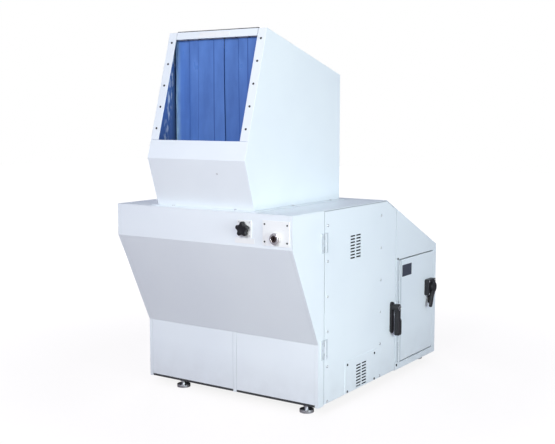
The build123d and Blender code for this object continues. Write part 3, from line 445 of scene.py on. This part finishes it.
def soften(piece, width):
    mesh = piece.data
    if "custom_normal" in mesh.attributes:
        mesh.attributes.remove(mesh.attributes["custom_normal"])
    mesh.polygons.foreach_set("use_smooth", [True] * len(mesh.polygons))
    weld = piece.modifiers.new("one_skin", "WELD")
    weld.merge_threshold = 0.00002
    flat = piece.modifiers.new("whole_faces", "DECIMATE")
    flat.decimate_type = "DISSOLVE"
    flat.angle_limit = math.radians(0.5)
    edge = piece.modifiers.new("eased_edges", "BEVEL")
    edge.width = width
    edge.segments = 2
    edge.limit_method = "ANGLE"
    edge.angle_limit = math.radians(32)
    normals = piece.modifiers.new("flat_faces_stay_flat", "WEIGHTED_NORMAL")
    normals.keep_sharp = True


slot_of = {part["node"]: part["material_slot"] for part in frame["record"]["subparts"]}
fine_pieces = ("switch_legend_plate", "main_switch_plate", "key_switch_plate", "rear_door_plate", "lower_vent_plate")
for name, piece in nodes.items():
    piece.data.materials.clear()
    piece.data.materials.append(finishes[slot_of[name]])
    soften(piece, plate_bevel if name in fine_pieces else fold_bevel)
for name in ("side_hinge_frame_leaves", "side_hinge_door_leaves", "rear_hinge_frame_leaf", "rear_hinge_door_leaf"):
    nodes[name].data.materials[0] = finishes["hinge_paint"]
nodes["key_switch_barrel"].data.materials[0] = finishes["dark_chrome"]
print("dressed", len(nodes), "CAD pieces")

# %% [markdown]
# Screws hold the panels together, and a machine without them looks like a model. A pan head is a shape turned on a
# lathe: a short profile spun round, with a hexagon socket in the middle. One mesh holds all the heads of a kind on one
# body, and each head gets its own turn, because no fitter lines up sockets. Every turned or moulded form here is a pile
# of rings with a skin over them, so one helper makes the skin.

# %% Turned heads
turns = random.Random(4)
pan_head = [(1.0, -0.05), (1.0, 0.30), (0.90, 0.66), (0.70, 0.88), (0.50, 0.96)]
socket_reach, socket_top, socket_floor = 0.40, 0.94, 0.45


def skin(bm, rings, capped=True):
    for low, high in zip(rings, rings[1:]):
        for k in range(len(low)):
            j = (k + 1) % len(low)
            bm.faces.new((low[k], low[j], high[j], high[k]))
    if capped:
        bm.faces.new(rings[-1])
        bm.faces.new(list(reversed(rings[0])))


def spin(bm, profile, at, sides=18):
    rings = []
    for radius, height in profile:
        ring = []
        for k in range(sides):
            angle = 2 * math.pi * k / sides
            point = Vector((radius * math.cos(angle), radius * math.sin(angle), height))
            ring.append(bm.verts.new(at @ point))
        rings.append(ring)
    skin(bm, rings, capped=False)
    return rings


def seat(point, outwards, turn=0.0):
    lean = Vector((0, 0, 1)).rotation_difference(Vector(outwards))
    return Matrix.Translation(point) @ lean.to_matrix().to_4x4() @ Matrix.Rotation(turn, 4, "Z")


def socket_head(bm, at, radius, height):
    rim = spin(bm, [(r * radius, h * height) for r, h in pan_head], at)[-1]
    hexagon = []
    reach = socket_reach * radius
    for depth in (socket_top, socket_floor):
        corners = []
        for k in range(6):
            angle = math.pi * k / 3
            point = Vector((reach * math.cos(angle), reach * math.sin(angle), depth * height))
            corners.append(bm.verts.new(at @ point))
        hexagon.append(corners)
    for k in range(6):
        j = (k + 1) % 6
        bm.faces.new((hexagon[0][k], hexagon[0][j], rim[3 * k + 3 if k < 5 else 0], rim[3 * k + 2],
                      rim[3 * k + 1], rim[3 * k]))
        bm.faces.new((hexagon[1][k], hexagon[1][j], hexagon[0][j], hexagon[0][k]))
    bm.faces.new(hexagon[1])


def make_piece(name, bm, body, slot):
    bmesh.ops.recalc_face_normals(bm, faces=bm.faces)
    mesh = bpy.data.meshes.new(name)
    bm.to_mesh(mesh)
    bm.free()
    mesh.materials.append(finishes[slot])
    piece = bpy.data.objects.new(name, mesh)
    bpy.context.scene.collection.objects.link(piece)
    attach(piece, body)
    return piece


def screws(name, body, spots, outwards, radius, height, slot):
    bm = bmesh.new()
    for spot in spots:
        socket_head(bm, seat(spot, outwards, turns.uniform(0, 1)), radius / 1000, height / 1000)
    piece = make_piece(name, bm, body, slot)
    piece.data.polygons.foreach_set("use_smooth", [True] * len(piece.data.polygons))
    piece.modifiers.new("crisp_sockets", "WEIGHTED_NORMAL")
    print(name, len(spots))


# %% [markdown]
# The hopper face leans back. Two corners of the side wall give its line: the prow, which is the foremost point, and the
# crest, which is the highest. Five dark screws run up each flange beside the mouth. A few bolts hold the hopper's base
# flange to the deck, a plug closes a hole in the lower front, and the label over the mouth is left blank.

# %% Hopper screws and the blank label
wall_points = [v.co for v in nodes["hopper_right_wall"].data.vertices]
prow = min(wall_points, key=lambda p: p.y).copy()
crest = max(wall_points, key=lambda p: p.z).copy()
face_up = Vector((0, crest.y - prow.y, crest.z - prow.z)).normalized()
face_out = Vector((0, -face_up.z, face_up.y))
face_long = (Vector((0, crest.y, crest.z)) - Vector((0, prow.y, prow.z))).length


def on_face(across, along):
    point = Vector((middle_x, prow.y, prow.z)) + face_up * (along / 1000)
    return point + Vector((across / 1000, 0, 0))


face_spots = [on_face(side * 213, along) for side in (-1, 1) for along in (119, 205, 291, 378, 465)]
screws("hopper_face_screws", "hopper", face_spots, face_out, 4.4, 2.4, "black_latch")


def thin_plate(bm, at, wide, tall, thick, corner):
    outline = []
    for cx, cy, start in ((1, 1, 0), (-1, 1, 90), (-1, -1, 180), (1, -1, 270)):
        for step in range(5):
            angle = math.radians(start + step * 22.5)
            outline.append((cx * (wide / 2 - corner) + corner * math.cos(angle),
                            cy * (tall / 2 - corner) + corner * math.sin(angle)))
    ease = thick * 0.35
    rings = []
    for inset, height in ((0.0, 0.0), (0.0, thick - ease), (ease, thick)):
        shrink_x, shrink_y = 1 - 2 * inset / wide, 1 - 2 * inset / tall
        rings.append([bm.verts.new(at @ Vector((x * shrink_x, y * shrink_y, height))) for x, y in outline])
    skin(bm, rings)


upwards = Vector((0, 0, 1))
flange_top = 787
flange_spots = [place(side * 244, back, flange_top) for side in (-1, 1) for back in (275, 560)]
flange_spots += [place(across, 25, flange_top) for across in (-150, 150)]
screws("flange_bolts", "hopper", flange_spots, upwards, 5.5, 3.6, "zinc_steel")
lower_rise, lower_overhang = 186, 60
lower_out = Vector((0, -lower_rise, -lower_overhang)).normalized()
screws("lower_front_plug", "hopper", [place(93.2, -10.3, 921.3)], lower_out, 3.6, 1.4, "zinc_steel")

label_wide, label_tall, label_thick, label_corner = 0.144, 0.019, 0.0008, 0.002
label_mesh = bmesh.new()
label_at = seat(on_face(-8, 1000 * face_long - 14.5), face_out)
thin_plate(label_mesh, label_at, label_wide, label_tall, label_thick, label_corner)
make_piece("blank_label", label_mesh, "hopper", "white_plate")
print("face length", round(face_long, 4))

# %% [markdown]
# The side of the cabinet carries most of the fasteners: two columns on the door's stiffeners, four dark screws on the
# lower vent plate, a pair on the post beside the rear door and the screws of the hinges. Foam filters close the vents
# from inside; they are made near black with almost no gloss, so they are partly foam and partly a dark sheet standing
# in for painted shade in the slots. The side latch has a moulded cover: one outline carried outwards, with its outer
# edge eased. A turned ring finishes each latch.

# %% Side screws, filters and latch covers
side_out = Vector((1, 0, 0))
side_face = 420
side_latch_back, side_latch_up = 778, 321
rear_latch_back, rear_latch_up = 1146, 354
hinge_line, hinge_heights = 222, (252, 661)
door_spots = [place(side_face, back, 45 + 136 * k) for back in (246, 677) for k in range(6)]
screws("side_door_screws", "side_door", door_spots, side_out, 5.6, 3.2, "zinc_steel")
vent_spots = [place(side_face + 2, back, up) for back in (400, 626) for up in (44, 153)]
screws("vent_plate_screws", "side_door", vent_spots, side_out, 5.0, 2.6, "black_latch")
post_spots = [place(side_face, 836, 521), place(side_face, 835, 53)]
screws("post_screws", "cabinet", post_spots, side_out, 5.5, 3.0, "black_latch")
filter_tall, filter_thick, filter_corner = 0.102, 0.004, 0.004
filter_mesh = bmesh.new()
for back, up, wide in ((463, 621, 0.096), (515, 91.5, 0.104)):
    filter_at = seat(place(side_face - 3.2, back, up), (-1, 0, 0))
    thin_plate(filter_mesh, filter_at, filter_tall, wide, filter_thick, filter_corner)
# The filters stand behind the slots as black foam that also stands in for painted shade.
filters = make_piece("vent_filters", filter_mesh, "side_door", "belt_rubber")
filters.data.materials[0] = finishes["shade_black_foam"]
latch_face, lug_face, hub_face = 442, 433, 454
latch_spots = [place(latch_face, rear_latch_back + dy, rear_latch_up + dz) for dy in (-29, 29) for dz in (-29, 29)]
latch_spots.append(place(lug_face, 1156, 276))
screws("rear_latch_screws", "rear_door", latch_spots, side_out, 3.4, 1.6, "zinc_steel")


def moulding(bm, corners, near, far, ease):
    rings = []
    for inset, across in ((0.0, near), (0.0, far - ease), (0.4 * ease, far - 0.3 * ease), (ease, far)):
        ring = []
        for k, (back, up) in enumerate(corners):
            before, after = corners[k - 1], corners[(k + 1) % len(corners)]
            inwards = Vector((before[1] - after[1], after[0] - before[0])).normalized() * inset
            ring.append(bm.verts.new(place(across, back + inwards.x, up + inwards.y)))
        rings.append(ring)
    skin(bm, rings)


head_round, cover_near, cover_far, cover_ease = 16.5, 442.4, 461.5, 3.5
handle = [(head_round * math.cos(math.radians(a)), head_round * math.sin(math.radians(a))) for a in range(-30, 211, 15)]
handle += [(-12, -20), (-12, -60), (-12, -112), (-10, -117), (-5, -120), (15, -120), (20, -117), (22, -112), (22, -85),
           (22, -60), (20, -54), (15, -49), (12, -44), (12, -20)]
handle_mesh = bmesh.new()
cover_outline = [(side_latch_back + back, side_latch_up + up) for back, up in handle]
moulding(handle_mesh, cover_outline, cover_near, cover_far, cover_ease)
make_piece("side_handle_cover", handle_mesh, "side_latch", "black_latch")
small_ring = [(0.0115, -0.0005), (0.0115, 0.0010), (0.0105, 0.0014),
              (0.0085, 0.0014), (0.0078, 0.0006), (0.0078, -0.0005)]
ring_mesh = bmesh.new()
spin(ring_mesh, small_ring, seat(place(cover_far, side_latch_back, side_latch_up), side_out), 32)
make_piece("side_handle_ring", ring_mesh, "side_latch", "zinc_steel")
large_ring = [(0.0195, -0.0005), (0.0195, 0.0016), (0.0180, 0.0022),
              (0.0145, 0.0022), (0.0130, 0.0010), (0.0130, -0.0005)]
hub_mesh = bmesh.new()
spin(hub_mesh, large_ring, seat(place(hub_face, rear_latch_back, rear_latch_up), side_out), 36)
make_piece("rear_hub_ring", hub_mesh, "rear_latch", "black_latch")
leaf_face, leaf_reach, leaf_step = side_face + 2.5, 15, 27
hinge_rows = [middle + step for middle in hinge_heights for step in (-leaf_step, 0, leaf_step)]
frame_spots = [place(leaf_face, hinge_line - leaf_reach, up) for up in hinge_rows]
door_leaf_spots = [place(leaf_face, hinge_line + leaf_reach, up) for up in hinge_rows]
screws("hinge_screws_on_frame", "cabinet", frame_spots, side_out, 3.2, 1.2, "zinc_steel")
screws("hinge_screws_on_door", "side_door", door_leaf_spots, side_out, 3.2, 1.2, "zinc_steel")

# %% [markdown]
# The covers at the back and on the left come off for service, so screws follow their edges. The rear cover slopes, and
# its screws stand square to it.

# %% Cover screws
back_face, cover_column = 1231, 404
back_spots = [place(side * cover_column, back_face, up) for side in (-1, 1) for up in (62, 208, 354, 500)]
back_spots += [place(across, back_face, up) for across in (-200, 0, 200) for up in (62, 515)]
screws("rear_panel_screws", "cabinet", back_spots, Vector((0, 1, 0)), 5.4, 2.8, "zinc_steel")
left_spots = [place(-side_face, back, 765) for back in (40, 205, 370, 535, 700)]
left_spots += [place(-side_face, back, 50) for back in (205, 400, 600, 800, 1000, 1212)]
left_spots += [place(-side_face, 1212, up) for up in (205, 360, 515)]
screws("left_side_screws", "cabinet", left_spots, Vector((-1, 0, 0)), 5.4, 2.8, "zinc_steel")
cover_low, cover_high = place(0, back_face, 542), place(0, 726, 784)
cover_out = Vector((0, cover_high.z - cover_low.z, cover_low.y - cover_high.y)).normalized()
cover_spots = []
for side in (-1, 1):
    column = Vector((side * cover_column / 1000, 0, 0))
    cover_spots += [cover_low.lerp(cover_high, part) + column for part in (0.06, 0.36, 0.66, 0.95)]
screws("rear_cover_screws", "cabinet", cover_spots, cover_out, 5.4, 2.8, "zinc_steel")

# %% [markdown]
# Behind the doors the fasteners are bigger. Bolts hold the knives to the rotor, the bearings to the chamber and the
# motor to its bars, and small screws close the two electrical boxes. A knife bolt turns with the rotor, so its place is
# given on a knife that points straight up and is then turned about the shaft.

# %% Bolts inside the cabinet
shaft_low, shaft_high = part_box("rotor_shaft")
shaft_y, shaft_z = (shaft_low.y + shaft_high.y) / 2, (shaft_low.z + shaft_high.z) / 2
knife_rows, knife_face = 6, -0.007
bolt_up, bolt_radius, bolt_height = 0.098, 0.0065, 0.005
front_out = Vector((0, -1, 0))
knife_bolts = bmesh.new()
for row in range(knife_rows):
    angle = math.radians(360 / knife_rows * row)
    turned = Matrix.Translation((middle_x, shaft_y, shaft_z)) @ Matrix.Rotation(angle, 4, "X")
    start = -175 if row % 2 == 0 else 5
    for step in (28, 85, 142):
        bolt_spot = Vector(((start + step) / 1000, knife_face, bolt_up))
        socket_head(knife_bolts, turned @ seat(bolt_spot, front_out), bolt_radius, bolt_height)
make_piece("knife_bolts", knife_bolts, "rotor", "zinc_steel")
bearing_face, bearing_back, bearing_up = 224, 375, 560
for side, word in ((-1, "left"), (1, "right")):
    corners = [(bearing_back + dy, bearing_up + dz) for dy in (-42, 42) for dz in (-42, 42)]
    bearing_spots = [place(side * bearing_face, back, up) for back, up in corners]
    screws("bearing_bolts_" + word, "cabinet", bearing_spots, Vector((side, 0, 0)), 7.5, 6.0, "zinc_steel")
motor_back = 1030
motor_spots = [place(across, motor_back + dy, 76) for across in (22, 178) for dy in (-88, 88)]
screws("motor_foot_bolts", "cabinet", motor_spots, upwards, 8.0, 6.0, "zinc_steel")
box_spots = [place(across, motor_back + dy, 396) for across in (58, 142) for dy in (-42, 42)]
screws("terminal_box_screws", "cabinet", box_spots, upwards, 3.6, 2.0, "zinc_steel")
lid_spots = [place(-339, back, up) for back in (254, 516) for up in (434, 696)]
screws("electrical_box_screws", "cabinet", lid_spots, side_out, 4.0, 2.0, "zinc_steel")

# %% [markdown]
# The controls sit on the front band: a star knob on a white plate and a bright key switch on its own plate. Each plate
# is held by four small screws. The knob is a pile of rings: a round neck, five lobes with eased edges and a hollow in
# the middle of the face.

# %% Control screws and knob
switch_across, switch_up = 211, 724
key_across, key_up = 350, 715.5
plate_face = -2
switch_spots = [place(switch_across + dx, plate_face, switch_up + dz) for dx in (-24, 24) for dz in (-25, 25)]
screws("switch_plate_screws", "cabinet", switch_spots, front_out, 3.0, 1.4, "zinc_steel")
key_spots = [place(key_across + dx, plate_face, key_up + dz) for dx in (-49, 49) for dz in (-32, 32)]
screws("key_plate_screws", "cabinet", key_spots, front_out, 3.6, 1.8, "black_latch")
lobes, lobe_square, lobe_middle, lobe_swing = 5, 1.5, 24.2, 4.2


def star_ring(bm, at, grip, round_part, height, sides=80):
    ring = []
    for k in range(sides):
        angle = 2 * math.pi * k / sides
        lobe = math.tanh(lobe_square * math.cos(lobes * (angle - math.pi / 2))) / math.tanh(lobe_square)
        reach = round_part + grip * (lobe_middle + lobe_swing * lobe)
        point = Vector((reach * math.cos(angle), reach * math.sin(angle), height)) / 1000
        ring.append(bm.verts.new(at @ point))
    return ring


knob_mesh = bmesh.new()
knob_at = Matrix.Translation(place(switch_across, -2.5, switch_up)) @ Matrix.Rotation(math.radians(90), 4, "X")
knob_steps = [(0.0, 18.5, 0.0), (0.0, 18.5, 4.6), (0.90, 0.0, 5.0), (0.97, 0.0, 6.2), (1.0, 0.0, 8.5), (1.0, 0.0, 17.5),
              (0.97, 0.0, 19.8), (0.89, 0.0, 21.3), (0.78, 0.0, 21.8),
              (0.30, 6.0, 21.2), (0.0, 8.0, 20.2), (0.0, 2.0, 19.8)]
skin(knob_mesh, [star_ring(knob_mesh, knob_at, grip, rest, height) for grip, rest, height in knob_steps])
star_knob = make_piece("star_knob", knob_mesh, "main_switch", "black_plastic")
star_knob.data.polygons.foreach_set("use_smooth", [True] * len(star_knob.data.polygons))
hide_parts("main_switch_knob")
print("knob rings", len(knob_steps))

# %% [markdown]
# Four wide strips overlap by about 45 mm, every second one in front of its neighbours, and the outer two are cut
# narrower to fit the mouth. Soft vinyl keeps a memory of the roll, so each strip bows a little. All strips share one
# slow wave, so that layers follow each other and never cross, and the wave fades out at the clips, where the vinyl is
# held flat. The edges of the first and third strips show through the strips in front of them, the third's more
# strongly. Edges are in millimetres from the curtain's left end.

# %% Curtain strips
rail_low, rail_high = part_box("curtain_rail")
rail_y = (rail_low.y + rail_high.y) / 2
strip_low, strip_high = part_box("curtain_strips")
strip_long = strip_high.z - strip_low.z
strip_edges = [(0, 117), (73, 242), (193, 353), (309, 433)]
show_through = {0: 0.50, 2: 0.95}
strip_thick, layer_offset, clip_hold = 0.0024, 0.00225, 0.045
cup_depth, cup_start, cup_fade = 0.0007, 0.05, 0.15
wide_wave, narrow_wave = 0.0045, 0.0030
# Colour of the painted glint on the first strip's left rim.
rim_glint_tone = (0.56, 0.86, 0.95)
columns, rows = 16, 44


def curtain_bow(x, drop):
    free = max(0.0, drop - clip_hold) / (strip_long - clip_hold)
    ease = free * free * (3 - 2 * free)
    return ease * (wide_wave * math.sin(13.0 * x + 0.7) + narrow_wave * math.sin(29.0 * x - 1.1 + 2.4 * free))


def vinyl_strip(number):
    name = f"vinyl_strip_{number + 1}"
    left, right = (strip_low.x + edge / 1000 for edge in strip_edges[number])
    wide, middle = right - left, (left + right) / 2
    front = number % 2 == 1
    layer = -1 if front else 1
    bm = bmesh.new()
    grid = []
    for r in range(rows + 1):
        drop = strip_long * r / rows
        line = []
        for c in range(columns + 1):
            x = wide * (c / columns - 0.5)
            cup = layer * cup_depth * (2 * x / wide) ** 2 * min(1.0, max(0.0, drop - cup_start) / cup_fade)
            y = rail_y + layer * layer_offset + curtain_bow(middle + x, drop) + cup
            line.append(bm.verts.new((x, y, strip_high.z - drop)))
        grid.append(line)
    for r in range(rows):
        for c in range(columns):
            bm.faces.new((grid[r][c], grid[r + 1][c], grid[r + 1][c + 1], grid[r][c + 1]))
    mesh = bpy.data.meshes.new(name)
    bm.to_mesh(mesh)
    bm.free()
    mesh.polygons.foreach_set("use_smooth", [True] * len(mesh.polygons))
    laps = []
    for other, end in ((number - 1, 1), (number + 1, 0)):
        if front and other in show_through:
            laps.append((strip_low.x + strip_edges[other][end] / 1000 - middle, show_through[other]))
    strip_vinyl(name, wide / 2, laps, rim_glint_tone if number == 0 else None)
    mesh.materials.append(finishes[name])
    strip = bpy.data.objects.new(name, mesh)
    strip.location.x = middle
    bpy.context.scene.collection.objects.link(strip)
    body = strip.modifiers.new("vinyl_thickness", "SOLIDIFY")
    body.thickness = strip_thick
    body.offset = 0.0
    square = strip.modifiers.new("square_edges", "WEIGHTED_NORMAL")
    square.weight = 100
    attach(strip, "curtain")
    print(name, "wide", round(wide, 3), "lines", [round(lap[0], 3) for lap in laps])
    return strip


strips = [vinyl_strip(k) for k in range(len(strip_edges))]
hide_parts("curtain_strips")
print("strips", len(strips), "long", round(strip_long, 3))

# %% [markdown]
# A pale floor catches a soft shadow so that the machine stands somewhere. The camera sees it as nearly white, with
# only the shadow left in it, while every other ray meets a plain diffuse floor and bounces from it. Away from the
# machine the floor fades into the white background, as a paper roll does in a studio.

# %% Floor
floor_half, fade_start, fade_end, glow_share = 14, 1.0, 3.4, 0.56
floor_corners = [(x * floor_half, y * floor_half, 0) for x, y in ((-1, -1), (1, -1), (1, 1), (-1, 1))]
floor_mesh = bpy.data.meshes.new("pale_floor")
floor_mesh.from_pydata(floor_corners, [], [(0, 1, 2, 3)])
floor = bpy.data.objects.new("pale_floor", floor_mesh)
bpy.context.scene.collection.objects.link(floor)
floor_finish, floor_tree, floor_shader = new_material("pale_floor")
speck = grain(floor_tree, 3.0, 2.0)
floor_tone = blend(floor_tree, speck, (0.34, 0.297, 0.305), (0.37, 0.325, 0.335))
wire(floor_tree, floor_tone, floor_shader.inputs["Base Color"])
floor_shader.inputs["Roughness"].default_value = 0.9
glow = add(floor_tree, "Emission")
glow.inputs["Color"].default_value = (1, 1, 1, 1)
away = add(floor_tree, "VectorMath", operation="LENGTH")
ground = add(floor_tree, "TexCoord")
wire(floor_tree, ground.outputs["Object"], away.inputs[0])
glow_strength = spread(floor_tree, away.outputs["Value"], fade_start, fade_end, 1.53, 1.86)
wire(floor_tree, glow_strength, glow.inputs["Strength"])
seen = add(floor_tree, "LightPath")
share = add(floor_tree, "MixShader")
wire(floor_tree, times(floor_tree, seen.outputs["Is Camera Ray"], glow_share), share.inputs[0])
wire(floor_tree, floor_shader.outputs[0], share.inputs[1])
wire(floor_tree, glow.outputs[0], share.inputs[2])
wire(floor_tree, share.outputs[0], floor_tree.nodes["Material Output"].inputs["Surface"])
floor_mesh.materials.append(floor_finish)
floor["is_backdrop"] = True
print("floor wide", 2 * floor_half)

# %% [markdown]
# The picture has a white background and soft, cool light. The side of the machine is the brightest face and the
# undercut front is the darkest. A low softbox lights the side, so the hopper gets no brighter towards its top. A higher
# one lights the front, a weak lamp between them rounds the corner off, and the sky gives an even, faintly blue fill. A
# fourth lamp lights the back for other views. It gives no gloss, or it would glare on the deck towards the front. The
# white is for the camera and for clear parts, and glossy faces see some of it.

# %% Light
glossy_share = 0.3
world = bpy.data.worlds.new("white_studio")
bpy.context.scene.world = world
world.use_nodes = True
sky_tree = world.node_tree
ambient = sky_tree.nodes["Background"]
ambient.inputs["Color"].default_value = (0.54, 0.62, 1.0, 1)
ambient.inputs["Strength"].default_value = 0.28
white = add(sky_tree, "Background")
white.inputs["Color"].default_value = (1, 1, 1, 1)
white.inputs["Strength"].default_value = 1.0
rays = add(sky_tree, "LightPath")
shown = add(sky_tree, "Math", operation="MAXIMUM")
wire(sky_tree, rays.outputs["Is Camera Ray"], shown.inputs[0])
wire(sky_tree, times(sky_tree, rays.outputs["Is Glossy Ray"], glossy_share), shown.inputs[1])
clear = add(sky_tree, "Math", operation="MAXIMUM")
wire(sky_tree, shown.outputs[0], clear.inputs[0])
wire(sky_tree, rays.outputs["Is Transmission Ray"], clear.inputs[1])
choose = add(sky_tree, "MixShader")
wire(sky_tree, clear.outputs[0], choose.inputs[0])
wire(sky_tree, ambient.outputs[0], choose.inputs[1])
wire(sky_tree, white.outputs[0], choose.inputs[2])
wire(sky_tree, choose.outputs[0], sky_tree.nodes["World Output"].inputs["Surface"])


def lamp(name, spot, target, size, power, colour):
    data = bpy.data.lights.new(name, "AREA")
    data.shape = "DISK"
    data.size = size
    data.energy = power
    data.color = colour
    made = bpy.data.objects.new(name, data)
    made.location = spot
    made.rotation_euler = (target - spot).to_track_quat("-Z", "Y").to_euler()
    bpy.context.scene.collection.objects.link(made)
    print(name, power)
    return made


aim, back_aim = place(0, 400, 700), place(0, 700, 700)
lamp("side_softbox", place(3400, -520, 860), aim, 1.5, 77.5, (0.85, 0.94, 0.98))
lamp("front_softbox", place(600, -3800, 2600), aim, 1.8, 126, (0.965, 0.955, 1.0))
lamp("corner_lamp", place(3700, -2500, 2450), aim, 1.8, 38, (0.95, 1.0, 0.65))
back_light = lamp("back_softbox", place(-2600, 3800, 1080), back_aim, 2.2, 125, (1.0, 0.98, 0.95))
back_light.visible_glossy = False

# %% [markdown]
# Last, the script compares the dressed model with the CAD box and prints by how many millimetres the screws and strips
# stand proud of it. Screws and strips may stand a few millimetres proud, and no more.

# %% Compare sizes and finish
new_low, new_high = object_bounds()
grown = [[round(1000 * g, 2) for g in change] for change in (cad_low - new_low, new_high - cad_high)]
print("grown by mm", grown)
